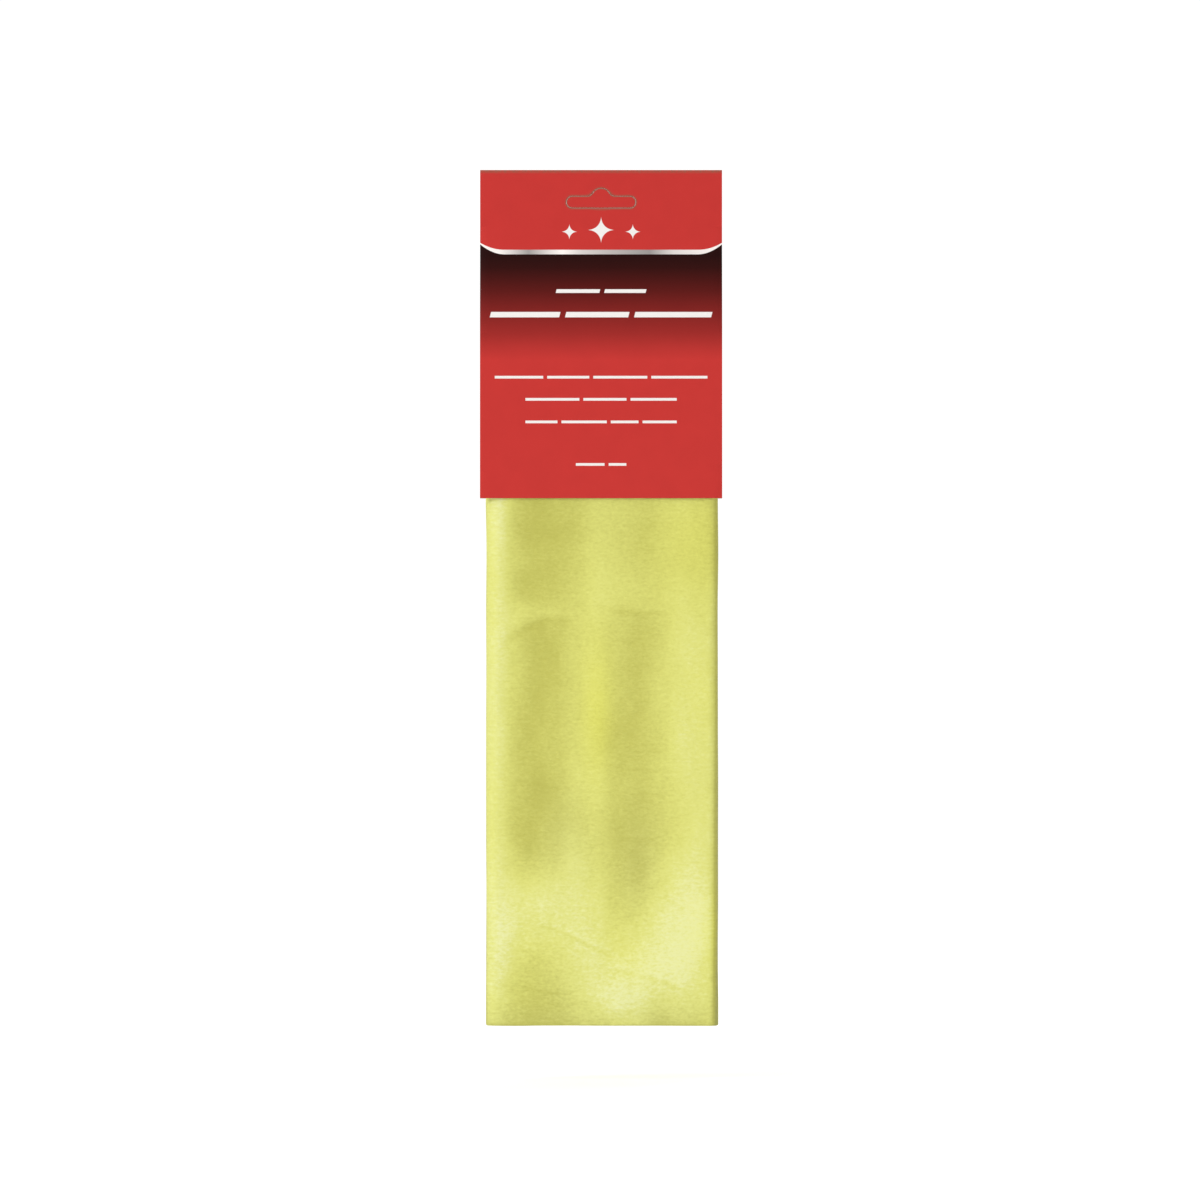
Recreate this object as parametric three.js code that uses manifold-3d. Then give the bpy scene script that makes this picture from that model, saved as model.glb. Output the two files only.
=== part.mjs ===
// Folded chamois leather under a creased header card with a hang slot.
// Millimetres, +Z up. The front faces -Y, and +X is to the right seen from the front.
// The origin is the bearing point of the hang slot, midway between the card's two layers.

import * as THREE from 'three';
import { mergeVertices } from 'three/addons/utils/BufferGeometryUtils.js';
import Module from 'manifold-3d';

const wasm = await Module();
wasm.setup();

// Header card: one sheet of board, creased and folded over the top of the skin
const cardWidth = 110.5;
const cardHeight = 150;
const boardThickness = 0.5;
const layerGap = 0.3;
const creaseAboveSlot = 8.2;
const tabBelowSlot = 12;
const creaseSegments = 8;

// Hang slot: a long round-ended slot with a raised middle that centres the peg
const slotWidth = 32;
const slotBodyHeight = 5.7;
const slotHumpRadius = 4.55;
const slotHumpRise = 3.65;
const slotFilletRadius = 2.8;
const arcSegments = 6;

// The die-cut pieces still fill the slot, inside a narrow cut line
const cutGap = 0.3;

// Chamois skin: folded in half lengthwise, then rolled flat into panels
const skinCutWidth = 508;
const skinCutLength = 640;
const skinThickness = 0.8;
const plyAir = 0.35;
const wrapAir = 0.35;
const packWidth = 106;
const packRightShift = 0.45;
const skinUnderCard = 79;
const turnSegments = 4;
const outerFoldSegments = 3;
const innerFoldSegments = 2;

// Below the card the pack swells, and its front has soft upright folds
const packLoft = 1;
const foldDepth = 1.3;
const columnShares = [0, 0.1, 0.22, 0.36, 0.5, 0.66, 0.82, 1];
const rowShares = [0, 0.3, 0.7, 1];
const loftShares = [0, 0.9, 1, 0.4];
const frontFoldShares = [
  [0, 0, 0, 0, 0, 0, 0, 0],
  [0.1, -0.9, -1, 0.3, -0.3, -0.9, 0.3, 0.1],
  [0.1, -0.7, -0.9, 0.4, -0.4, -1, 0.5, 0.2],
  [0, -0.5, -0.2, 0.1, -0.2, 0.1, 0.4, 0],
];

// Double-sided tape holds the card on the skin and closes the hang tab
const tapeThickness = 0.25;
const tapeLength = 90;
const tapeWidth = 12;
const tapeBelowSkinTop = 2;
const tabTapeWidth = 8;
const tabTapeBelowSlot = 1.6;
const seatGap = 0.3;

// The card's free ends bend up from a line a little below the tape
const hingeBelowTape = 2;
const hingeGap = 0.3;

// Colours and finishes
const cardRed = { color: 0xc93b37, roughness: 0.38, metalness: 0 };
const chamoisYellow = { color: 0xdfe080, roughness: 0.95, metalness: 0 };
const clearTape = { color: 0xe9e6da, roughness: 0.45, metalness: 0 };

// Heights that more than one piece follows
const cardTop = creaseAboveSlot;
const cardBottom = cardTop - cardHeight;
const slotBodyTop = -slotHumpRise;
const slotBottom = slotBodyTop - slotBodyHeight;
const tabFoot = slotBottom - tabBelowSlot;
const skinTop = cardBottom + skinUnderCard;
const skinBottom = skinTop - skinCutLength / 2;
const tentFoot = skinTop + seatGap;
const tapeTop = skinTop - tapeBelowSkinTop;
const tapeBottom = tapeTop - tapeWidth;
const hingeHeight = tapeBottom - hingeBelowTape;

// Depths from the mid plane outwards, through the skin's layers to the card's face
const pairHalf = skinThickness + plyAir / 2;
const wrapPitch = 2 * pairHalf + wrapAir;
const panelCount = Math.ceil(skinCutWidth / packWidth);
const stackHalf = ((panelCount - 1) * wrapPitch) / 2 + pairHalf;
const layerHalf = layerGap / 2;
const tabFace = layerHalf + boardThickness;
const cardInside = stackHalf + seatGap + tapeThickness;

// One cut overrun serves every through cut
const cutOverrun = boardThickness;

// Swaps a drawn profile onto the plane across X, so that it runs along X
const alongX = new THREE.Matrix4().makeBasis(
  new THREE.Vector3(0, 1, 0),
  new THREE.Vector3(0, 0, 1),
  new THREE.Vector3(1, 0, 0),
);

// Swaps a drawn outline onto the plane across Y, so that it runs towards -Y
const towardsFront = new THREE.Matrix4().makeBasis(
  new THREE.Vector3(1, 0, 0),
  new THREE.Vector3(0, 0, 1),
  new THREE.Vector3(0, -1, 0),
);

function piece(name, geometry, finish) {
  const mesh = new THREE.Mesh(geometry, new THREE.MeshStandardMaterial(finish));
  mesh.name = name;
  return mesh;
}

function profileAlongX(shape, width) {
  const geometry = new THREE.ExtrudeGeometry(shape, { depth: width, bevelEnabled: false });
  return geometry.translate(0, 0, -width / 2).applyMatrix4(alongX);
}

// An outline in X and Z as a plate whose faces lie at the given depths in Y
function outlinePlate(shape, frontY, backY) {
  const settings = { depth: backY - frontY, bevelEnabled: false, curveSegments: arcSegments };
  const geometry = new THREE.ExtrudeGeometry(shape, settings);
  return geometry.applyMatrix4(towardsFront).translate(0, backY, 0);
}

function toSolid(geometry) {
  const bare = geometry.clone();
  bare.deleteAttribute('normal');
  bare.deleteAttribute('uv');
  const merged = mergeVertices(bare);
  return new wasm.Manifold(new wasm.Mesh({
    numProp: 3,
    vertProperties: merged.attributes.position.array,
    triVerts: new Uint32Array(merged.index.array),
  }));
}

function toGeometry(solid) {
  const mesh = solid.getMesh();
  const geometry = new THREE.BufferGeometry();
  geometry.setAttribute('position', new THREE.BufferAttribute(mesh.vertProperties, 3));
  geometry.setIndex(new THREE.BufferAttribute(mesh.triVerts, 1));
  geometry.computeVertexNormals();
  return geometry;
}

// The same distance outside every stretch of an open line, with mitred corners
function offsetLine(points, distance) {
  const normals = points.slice(1).map((point, i) => {
    const along = point.clone().sub(points[i]).normalize();
    return new THREE.Vector2(-along.y, along.x);
  });
  return points.map((point, i) => {
    const before = normals[Math.max(i - 1, 0)];
    const after = normals[Math.min(i, normals.length - 1)];
    const mitre = before.clone().add(after).divideScalar(1 + before.dot(after));
    return point.clone().addScaledVector(mitre, distance);
  });
}

// Inner line of the card from its front hinge, over the crease, to its back hinge
function cardInnerLine() {
  const creaseCentre = cardTop - tabFace;
  const back = [];
  for (let i = 0; i <= creaseSegments; i += 1) {
    const turn = (Math.PI / 2) * (1 - i / creaseSegments);
    back.push([layerHalf * Math.cos(turn), creaseCentre + layerHalf * Math.sin(turn)]);
  }
  back.push([layerHalf, tabFoot], [cardInside, tentFoot], [cardInside, hingeHeight]);
  const front = back.slice(1).reverse().map(([y, z]) => [-y, z]);
  return [...front, ...back].map(([y, z]) => new THREE.Vector2(y, z));
}

// The slot's outline, drawn in by an inset that keeps every arc's centre
function slotOutline(inset) {
  const endRadius = slotBodyHeight / 2;
  const endX = slotWidth / 2 - endRadius;
  const endZ = slotBodyTop - endRadius;
  const filletZ = slotBodyTop + slotFilletRadius;
  const rise = filletZ + slotHumpRadius;
  const filletX = Math.sqrt((slotHumpRadius + slotFilletRadius) ** 2 - rise ** 2);
  const meet = Math.atan2(rise, filletX);
  const shape = new THREE.Shape();
  shape.moveTo(-endX, slotBottom + inset);
  shape.lineTo(endX, slotBottom + inset);
  shape.absarc(endX, endZ, endRadius - inset, -Math.PI / 2, Math.PI / 2, false);
  shape.lineTo(filletX, slotBodyTop - inset);
  shape.absarc(filletX, filletZ, slotFilletRadius + inset, -Math.PI / 2, meet - Math.PI, true);
  shape.absarc(0, -slotHumpRadius, slotHumpRadius - inset, meet, Math.PI - meet, false);
  shape.absarc(-filletX, filletZ, slotFilletRadius + inset, -meet, -Math.PI / 2, true);
  shape.lineTo(-endX, slotBodyTop - inset);
  shape.absarc(-endX, endZ, endRadius - inset, Math.PI / 2, (3 * Math.PI) / 2, false);
  return shape;
}

// Crease, hang tab and the two sloping sides, down to where the free ends begin
function cardSaddle() {
  const inner = cardInnerLine();
  const outer = offsetLine(inner, boardThickness);
  const folded = profileAlongX(new THREE.Shape([...inner, ...outer.reverse()]), cardWidth);
  const cutter = outlinePlate(slotOutline(0), -tabFace - cutOverrun, tabFace + cutOverrun);
  return piece('card_saddle', toGeometry(toSolid(folded).subtract(toSolid(cutter))), cardRed);
}

// A free end of the card, from the hinge line to the lower edge
function cardFlap(name, side) {
  const top = hingeHeight - hingeGap;
  const geometry = new THREE.BoxGeometry(cardWidth, boardThickness, top - cardBottom);
  const middle = cardInside + boardThickness / 2;
  geometry.translate(0, side * middle, (top + cardBottom) / 2);
  return piece(name, geometry, cardRed);
}

function slotKnockout(name, side) {
  const inner = side * layerHalf;
  const outer = side * tabFace;
  const plate = outlinePlate(slotOutline(cutGap), Math.min(inner, outer), Math.max(inner, outer));
  return piece(name, plate, cardRed);
}

function tapeStrip(name, width, frontY, backY, top) {
  const geometry = new THREE.BoxGeometry(tapeLength, backY - frontY, width);
  geometry.translate(0, (frontY + backY) / 2, top - width / 2);
  return piece(name, geometry, clearTape);
}

// Depth of a panel: sides alternate, and the last one, with the free edge, is at the back
function panelDepth(panel) {
  const side = (panelCount - 1 - panel) % 2 === 0 ? 1 : -1;
  const centring = panelCount % 2 === 0 ? wrapPitch / 2 : 0;
  return side * Math.ceil(panel / 2) * wrapPitch - centring;
}

// Straight runs of the rolled skin lie between these two lines, and its turns outside them
function runEnds() {
  const turns = panelCount - 1;
  const widest = turns * (wrapPitch / 2) + pairHalf;
  const nextWidest = (turns - 1) * (wrapPitch / 2) + pairHalf;
  return { left: widest - packWidth / 2, right: packWidth / 2 - nextWidest };
}

// Centre line of the rolled skin seen from above: x, y, direction, from the inner edge outwards
function rollLine() {
  const { left, right } = runEnds();
  const run = right - left;
  const columns = columnShares.map((share) => left + share * run);
  let turned = 0;
  for (let turn = 1; turn < panelCount; turn += 1) turned += (Math.PI * turn * wrapPitch) / 2;
  const outerEdge = right - pairHalf;
  const outerRun = outerEdge - left;
  const innerRun = skinCutWidth - turned - outerRun - (panelCount - 2) * run;
  const line = [];
  for (let panel = 0; panel < panelCount; panel += 1) {
    const heading = (panelCount - 1 - panel) % 2 === 0 ? 1 : -1;
    const [near, far] = heading > 0 ? [left, right] : [right, left];
    const end = panel === panelCount - 1 ? outerEdge : far;
    const start = panel === 0 ? far - heading * innerRun : near;
    const passed = columns.filter((x) => (x - start) * (x - end) < 0);
    if (heading < 0) passed.reverse();
    const y = panelDepth(panel);
    [start, ...passed, end].forEach((x) => line.push({ x, y, dx: heading, dy: 0 }));
    if (panel === panelCount - 1) break;
    const nextY = panelDepth(panel + 1);
    const climb = Math.sign(nextY - y);
    const radius = Math.abs(nextY - y) / 2;
    for (let i = 1; i < turnSegments; i += 1) {
      const angle = (Math.PI * i) / turnSegments;
      line.push({
        x: end + heading * radius * Math.sin(angle),
        y: y + climb * radius * (1 - Math.cos(angle)),
        dx: heading * Math.cos(angle),
        dy: climb * Math.sin(angle),
      });
    }
  }
  return line;
}

// Two plies joined by the fold at the foot: offset from the roll's centre line, and height
function foldedProfile() {
  const centre = skinBottom + pairHalf;
  const hanging = cardBottom - centre;
  const rows = [skinTop, ...rowShares.map((share) => cardBottom - share * hanging)];
  const outside = rows.map((z) => new THREE.Vector2(-pairHalf, z));
  const inside = rows.map((z) => new THREE.Vector2(-plyAir / 2, z));
  const mirrored = (points) => points.map((p) => new THREE.Vector2(-p.x, p.y)).reverse();
  const arc = (radius, segments) => {
    const points = [];
    for (let i = 1; i < segments; i += 1) {
      const angle = Math.PI * (1 + i / segments);
      points.push(new THREE.Vector2(radius * Math.cos(angle), centre + radius * Math.sin(angle)));
    }
    return points;
  };
  const outerLine = [...outside, ...arc(pairHalf, outerFoldSegments), ...mirrored(outside)];
  const innerLine = [...inside, ...arc(plyAir / 2, innerFoldSegments), ...mirrored(inside)];
  return [...outerLine, ...innerLine.reverse()];
}

// Value of a line of shares at a position, straight between its stops
function between(stops, values, position) {
  const last = stops.length - 1;
  const held = Math.min(Math.max(position, stops[0]), stops[last]);
  let i = 0;
  while (i < last - 1 && held > stops[i + 1]) i += 1;
  const share = (held - stops[i]) / (stops[i + 1] - stops[i]);
  return values[i] + share * (values[i + 1] - values[i]);
}

// Moves a point of the evenly rolled pack to where the swollen, folded pack has it
function settle(point) {
  const { left, right } = runEnds();
  const across = (point.x - left) / (right - left);
  const down = (cardBottom - point.z) / (cardBottom - skinBottom - pairHalf);
  const folds = frontFoldShares.map((row) => between(columnShares, row, across));
  const loft = packLoft * between(rowShares, loftShares, down);
  const front = -stackHalf - loft - foldDepth * between(rowShares, folds, down);
  const back = stackHalf + loft;
  const depthShare = (point.y + stackHalf) / (2 * stackHalf);
  point.y = front + depthShare * (back - front);
  point.x += packRightShift;
  return point;
}

// The skin as one closed sheet: the folded profile carried along the roll's centre line
function chamois() {
  const line = rollLine();
  const profile = foldedProfile();
  const size = profile.length;
  const positions = [];
  const triangles = [];
  line.forEach((stop) => {
    profile.forEach((p) => {
      const point = new THREE.Vector3(stop.x - stop.dy * p.x, stop.y + stop.dx * p.x, p.y);
      positions.push(...settle(point).toArray());
    });
  });
  for (let i = 0; i + 1 < line.length; i += 1) {
    const forward = Math.sign(line[i + 1].x - line[i].x);
    for (let j = 0; j < size; j += 1) {
      const next = (j + 1) % size;
      const rising = forward * (profile[next].y - profile[j].y) > 0;
      const [a, b] = [i * size + j, i * size + next];
      const [c, d] = [b + size, a + size];
      if (rising) triangles.push(a, b, d, b, c, d);
      else triangles.push(a, b, c, a, c, d);
    }
  }
  const end = (line.length - 1) * size;
  THREE.ShapeUtils.triangulateShape(profile, []).forEach(([a, b, c]) => {
    triangles.push(a, c, b, end + a, end + b, end + c);
  });
  const geometry = new THREE.BufferGeometry();
  geometry.setAttribute('position', new THREE.Float32BufferAttribute(positions, 3));
  geometry.setIndex(triangles);
  geometry.computeVertexNormals();
  return piece('chamois', geometry, chamoisYellow);
}

const pack = new THREE.Group();
pack.add(
  cardSaddle(),
  cardFlap('front_flap', -1),
  cardFlap('back_flap', 1),
  slotKnockout('front_knockout', -1),
  slotKnockout('back_knockout', 1),
  chamois(),
  tapeStrip('front_tape', tapeWidth, -cardInside, -cardInside + tapeThickness, tapeTop),
  tapeStrip('back_tape', tapeWidth, cardInside - tapeThickness, cardInside, tapeTop),
  tapeStrip('tab_tape', tabTapeWidth, -layerHalf, layerHalf, slotBottom - tabTapeBelowSlot),
);

export default pack;
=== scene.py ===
"""Dresses a packed chamois leather: printed header card, folded skin, tape and a plain studio stage.

Metres, +Z up. The card's front faces -Y. Millimetre values are written as a number times MM.
"""

import math

import bmesh
import bpy
import numpy as np
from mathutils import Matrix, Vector


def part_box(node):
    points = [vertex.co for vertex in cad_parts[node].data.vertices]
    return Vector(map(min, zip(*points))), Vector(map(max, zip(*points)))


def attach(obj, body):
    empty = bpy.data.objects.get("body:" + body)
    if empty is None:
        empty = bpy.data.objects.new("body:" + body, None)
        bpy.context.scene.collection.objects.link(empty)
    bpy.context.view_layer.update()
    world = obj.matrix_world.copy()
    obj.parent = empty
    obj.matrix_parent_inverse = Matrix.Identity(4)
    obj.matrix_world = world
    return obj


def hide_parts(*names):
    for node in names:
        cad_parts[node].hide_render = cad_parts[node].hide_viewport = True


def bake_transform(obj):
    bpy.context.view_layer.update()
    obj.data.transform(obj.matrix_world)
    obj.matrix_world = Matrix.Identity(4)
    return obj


bl_info = {
    "name": "Packed Chamois Leather",
    "version": (1, 0, 0),
    "blender": (4, 5, 0),
    "location": "View3D > Sidebar > Chamois",
    "description": "Builds a header card, a folded chamois skin and a studio stage",
    "category": "Object",
}

MM = 0.001
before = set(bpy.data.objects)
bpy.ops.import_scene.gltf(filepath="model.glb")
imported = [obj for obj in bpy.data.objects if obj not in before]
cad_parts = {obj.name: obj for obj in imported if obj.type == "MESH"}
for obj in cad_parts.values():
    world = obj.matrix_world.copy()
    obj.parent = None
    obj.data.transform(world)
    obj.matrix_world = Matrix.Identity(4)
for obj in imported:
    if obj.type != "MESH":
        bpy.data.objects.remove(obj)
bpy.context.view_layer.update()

# Places that the pieces share, read from the frame
SADDLE_LOW, SADDLE_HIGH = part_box("card_saddle")
FLAP_LOW, FLAP_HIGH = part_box("front_flap")
KNOCKOUT_LOW, KNOCKOUT_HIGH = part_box("back_knockout")
# The solids leave this gap between the slot's edge and the die-cut pieces
CUT = 0.3 * MM
SLOT_HALF = KNOCKOUT_HIGH.x + CUT
SLOT_TOP = KNOCKOUT_HIGH.z + CUT
SLOT_LOW = KNOCKOUT_LOW.z - CUT
SKIN_LOW, SKIN_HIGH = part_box("chamois")
TAPE_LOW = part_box("front_tape")[0]

CARD_HALF = SADDLE_HIGH.x
CARD_TOP = SADDLE_HIGH.z
CARD_BOTTOM = FLAP_LOW.z
HINGE = (SADDLE_LOW.z + FLAP_HIGH.z) / 2
BEND_TOP = TAPE_LOW.z
BEND_LOW = 2 * HINGE - BEND_TOP
BOARD = KNOCKOUT_HIGH.y - KNOCKOUT_LOW.y
TAB_INSIDE = KNOCKOUT_LOW.y
TAB_FACE = KNOCKOUT_HIGH.y
CARD_INSIDE = -TAPE_LOW.y
CARD_FACE = SADDLE_HIGH.y
SKIN_TOP = SKIN_HIGH.z
SKIN_BOTTOM = SKIN_LOW.z
SKIN_MIDDLE = (SKIN_LOW.x + SKIN_HIGH.x) / 2
PACK_WIDTH = SKIN_HIGH.x - SKIN_LOW.x
SKIN_SHOWN = CARD_BOTTOM - SKIN_BOTTOM


class CardSettings(bpy.types.PropertyGroup):
    """Sizes and colours of the header card."""

    cut_gap: bpy.props.FloatProperty(
        name="Cut gap",
        description="Width of the die cut round the slot's pieces",
        default=0.06 * MM,
        unit="LENGTH",
    )
    hump_radius: bpy.props.FloatProperty(
        name="Slot hump radius",
        description="Radius of the raised middle of the hang slot",
        default=4.55 * MM,
        unit="LENGTH",
    )
    hump_rise: bpy.props.FloatProperty(
        name="Slot hump rise",
        description="Height of the raised middle above the slot's straight edge",
        default=3.65 * MM,
        unit="LENGTH",
    )
    hump_fillet: bpy.props.FloatProperty(
        name="Slot hump fillet",
        description="Size of the rounding where the raised middle meets the straight edge",
        default=2.8 * MM,
        unit="LENGTH",
    )
    edge_wear: bpy.props.FloatProperty(
        name="Edge wear",
        description="Width of the worn edge all round the board",
        default=0.05 * MM,
        unit="LENGTH",
    )
    rim_crush: bpy.props.FloatProperty(
        name="Rim crush",
        description="Width of the rim that the die crushed along the slot",
        default=0.2 * MM,
        unit="LENGTH",
    )
    tab_below_slot: bpy.props.FloatProperty(
        name="Tab below slot",
        description="Flat stretch of the hang tab below the slot",
        default=12 * MM,
        unit="LENGTH",
    )
    red: bpy.props.FloatVectorProperty(
        name="Card red",
        description="Main printed colour",
        subtype="COLOR",
        size=4,
        default=(0.553, 0.038, 0.033, 1),
    )
    dark: bpy.props.FloatVectorProperty(
        name="Band dark",
        description="Dark end of the faded band",
        subtype="COLOR",
        size=4,
        default=(0.019, 0.0035, 0.003, 1),
    )
    board: bpy.props.FloatVectorProperty(
        name="Board",
        description="Unprinted board on the inside and at cut edges",
        subtype="COLOR",
        size=4,
        default=(0.43, 0.38, 0.31, 1),
    )
    # The crushed rim's colour is crushed board darkened with painted shade of the die cut
    shaded_rim: bpy.props.FloatVectorProperty(
        name="Crushed rim",
        description="Board laid open and soiled along the die cut",
        subtype="COLOR",
        size=4,
        default=(0.3, 0.13, 0.08, 1),
    )
    # This brown is rubbed print along the crease, and painted shade of the die cut round the slot
    soil_and_shade: bpy.props.FloatVectorProperty(
        name="Soiled print",
        description="Print rubbed brown along the crease and the slot",
        subtype="COLOR",
        size=4,
        default=(0.3, 0.1, 0.065, 1),
    )


class SkinSettings(bpy.types.PropertyGroup):
    """Sizes and colours of the chamois skin."""

    cut_width: bpy.props.FloatProperty(
        name="Cut width",
        description="Width of the flat skin, which is rolled into panels",
        default=508 * MM,
        unit="LENGTH",
    )
    cut_length: bpy.props.FloatProperty(
        name="Cut length",
        description="Length of the flat skin, which is folded in half",
        default=640 * MM,
        unit="LENGTH",
    )
    thickness: bpy.props.FloatProperty(
        name="Thickness",
        description="Thickness of the leather",
        default=0.8 * MM,
        unit="LENGTH",
    )
    air: bpy.props.FloatProperty(
        name="Air",
        description="Space between neighbouring layers",
        default=0.35 * MM,
        unit="LENGTH",
    )
    panels: bpy.props.IntProperty(
        name="Panels",
        description="How many panels the roll has",
        default=5,
    )
    loft: bpy.props.FloatProperty(
        name="Loft",
        description="How far each face swells below the card",
        default=1 * MM,
        unit="LENGTH",
    )
    fold_depth: bpy.props.FloatProperty(
        name="Fold depth",
        description="Depth of the soft upright folds in the front",
        default=1.3 * MM,
        unit="LENGTH",
    )
    # Pale nap is painted light: the colour where the ridges' painted shading is highest, and of the
    # palest grain
    pale_and_lit: bpy.props.FloatVectorProperty(
        name="Pale nap",
        description="Colour of the most raised nap, dry and pale",
        subtype="COLOR",
        size=4,
        default=(0.8, 0.81, 0.385, 1),
    )
    # Light nap is partly painted light: the colour of raised folds, and of lighter grain
    light: bpy.props.FloatVectorProperty(
        name="Light nap",
        description="Colour of the raised nap",
        subtype="COLOR",
        size=4,
        default=(0.76, 0.765, 0.25, 1),
    )
    # Middle nap is the colour between the painted shade of the folds and the painted light of the ridges
    middle: bpy.props.FloatVectorProperty(
        name="Middle nap",
        description="Colour of nap that is neither raised nor pressed",
        subtype="COLOR",
        size=4,
        default=(0.69, 0.69, 0.18, 1),
    )
    # Deep nap is painted shade: the colour in the folds' valleys and the creases' grooves, and of the
    # darkest grain
    deep_and_shaded: bpy.props.FloatVectorProperty(
        name="Deep nap",
        description="Colour of the pressed nap in the folds",
        subtype="COLOR",
        size=4,
        default=(0.50, 0.485, 0.1, 1),
    )
    # Worn edge is painted shade: the darkest colour, where the rolled edges and the foot turn away from
    # the light
    shaded_edge: bpy.props.FloatVectorProperty(
        name="Worn edge",
        description="Colour of the flattened nap along the pack's rolled edge",
        subtype="COLOR",
        size=4,
        default=(0.36, 0.352, 0.09, 1),
    )


class StageSettings(bpy.types.PropertyGroup):
    """Camera, floor and light."""

    lens: bpy.props.FloatProperty(
        name="Lens",
        description="Focal length in millimetres on a 36 mm sensor",
        default=300,
    )
    view_width: bpy.props.FloatProperty(
        name="View width",
        description="Width of the view at the card's face",
        default=0.5474,
        unit="LENGTH",
    )
    key_power: bpy.props.FloatProperty(
        name="Key power",
        description="Power of the soft light on the left in watts",
        default=20,
    )


class Link:
    """A node socket in an expression: arithmetic on it adds Math nodes."""

    def __init__(self, tree, socket=None):
        self.tree = tree
        self.socket = socket

    def node(self, kind, settings=None, inputs=None, output=0):
        """Adds a node: its settings first, then the values or links of its sockets."""
        made = self.tree.nodes.new(kind)
        for name, value in (settings or {}).items():
            if name == "stops":
                set_stops(made.color_ramp, value)
            else:
                setattr(made, name, value)
        for name, value in (inputs or {}).items():
            if isinstance(value, Link):
                self.tree.links.new(value.socket, made.inputs[name])
            else:
                made.inputs[name].default_value = value
        return Link(self.tree, made.outputs[output] if made.outputs else None)

    def math(self, operation, *values, clamp=False):
        settings = {"operation": operation, "use_clamp": clamp}
        return self.node("ShaderNodeMath", settings, dict(enumerate((self, *values))))

    def __add__(self, other):
        return self.math("ADD", other)

    def __radd__(self, other):
        return self.math("ADD", other)

    def __sub__(self, other):
        return self.math("SUBTRACT", other)

    def __rsub__(self, other):
        return (self * -1) + other

    def __mul__(self, other):
        return self.math("MULTIPLY", other)

    def __rmul__(self, other):
        return self.math("MULTIPLY", other)

    def __truediv__(self, other):
        return self.math("DIVIDE", other)

    def size(self):
        return self.math("ABSOLUTE")

    def power(self, exponent):
        return self.math("POWER", exponent)

    def smoothly_smallest(self, other, reach):
        """The smaller value, rounded off where the two come within reach of each other."""
        return self.math("SMOOTH_MIN", other, reach)

    def largest(self, other):
        return self.math("MAXIMUM", other)

    def held(self):
        """The value, kept from 0 to 1."""
        return self.math("ADD", 0, clamp=True)

    def ramp_from(self, low, high):
        """0 below low, 1 above high, and smooth between them."""
        settings = {"interpolation_type": "SMOOTHSTEP"}
        inputs = {"Value": self, "From Min": low, "From Max": high}
        return self.node("ShaderNodeMapRange", settings, inputs)

    def mixed(self, first, second):
        """The first colour where this value is 0, and the second where it is 1."""
        inputs = {0: self, 6: first, 7: second}
        return self.node("ShaderNodeMix", {"data_type": "RGBA"}, inputs, output=2)

    def stretched(self, scale):
        """A vector with each axis times its own scale."""
        return self.node("ShaderNodeVectorMath", {"operation": "MULTIPLY"}, {0: self, 1: scale})

    def axis(self, index):
        return self.node("ShaderNodeSeparateXYZ", {}, {0: self}, output=index)

    def noise(self, scale, detail=2.0, roughness=0.5):
        inputs = {"Vector": self, "Scale": scale, "Detail": detail, "Roughness": roughness}
        return self.node("ShaderNodeTexNoise", {}, inputs)

    def patches(self, scale, detail, low, high):
        """Soft patches: 0 where the noise is below low, and 1 where it is above high."""
        return self.noise(scale, detail).ramp_from(low, high)


def set_stops(ramp, stops):
    """Gives a colour ramp these (place, colour) stops."""
    while len(ramp.elements) < len(stops):
        ramp.elements.new(1)
    for element, (place, colour) in zip(ramp.elements, stops):
        element.position = place
        element.color = colour


def new_material(name):
    """An empty node material, and the start of its expressions."""
    material = bpy.data.materials.new(name)
    material.use_nodes = True
    material.node_tree.nodes.clear()
    return material, Link(material.node_tree)


def finish_material(material, start, inputs, **constants):
    """Adds the surface shader: what varies comes as links, what is constant is set on its sockets."""
    surface = start.node("ShaderNodeBsdfPrincipled", {}, {**constants, **inputs})
    start.node("ShaderNodeOutputMaterial", {}, {"Surface": surface})
    return material


def object_place(start):
    """Where a point lies in its own object, in metres."""
    return start.node("ShaderNodeTexCoord", {}, output=3)


def painted(start, name):
    """The value of one of the mesh's attributes."""
    return start.node("ShaderNodeAttribute", {"attribute_name": name}, output=2)


def bump(start, height, distance, strength=1.0):
    """A normal that a height tilts."""
    inputs = {"Height": height, "Distance": distance, "Strength": strength}
    return start.node("ShaderNodeBump", {}, inputs)


# Printed layout of the card's front, in millimetres from its middle and below its crease
STRIPE_MIDDLE = 37.6
STRIPE_HALF = 1.07
STRIPE_STRAIGHT = 44.2
STRIPE_RISE = 3.95
BAND_START = 39.2
BAND_END = 87.2
# The stripe thins towards the card's sides by this share, along a curve of this power
STRIPE_TAPER = 0.67
STRIPE_TAPER_POWER = 1.6
STRIPE_EDGE = 0.12
PRINT_EDGE = 0.1
INK = (0.86, 0.83, 0.8, 1)
# Greys of the stripe across the card, and how warm each of them is
SILVER_WARMTH = (1, 0.93, 0.89)
SILVER_STOPS = (
    (0.0, 0.97), (0.08, 0.93), (0.2, 0.34), (0.34, 0.98), (0.42, 0.66),
    (0.55, 0.48), (0.7, 0.31), (0.8, 0.72), (1.0, 0.97),
)
# How far the dark band has faded to red, from its start to its end
BAND_STOPS = (
    (0.0, 0.0), (0.12, 0.025), (0.23, 0.086), (0.35, 0.165), (0.46, 0.28), (0.63, 0.445),
    (0.76, 0.6), (0.88, 0.82), (1.0, 1.0),
)
# Sparkles: place across, place down, reach
SPARKLES = ((0.0, 27.4, 6.2), (-14.5, 28.2, 3.7), (14.5, 28.2, 3.7))
SPARKLE_POWER = 0.55
SPARKLE_EDGE = 0.03
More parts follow.
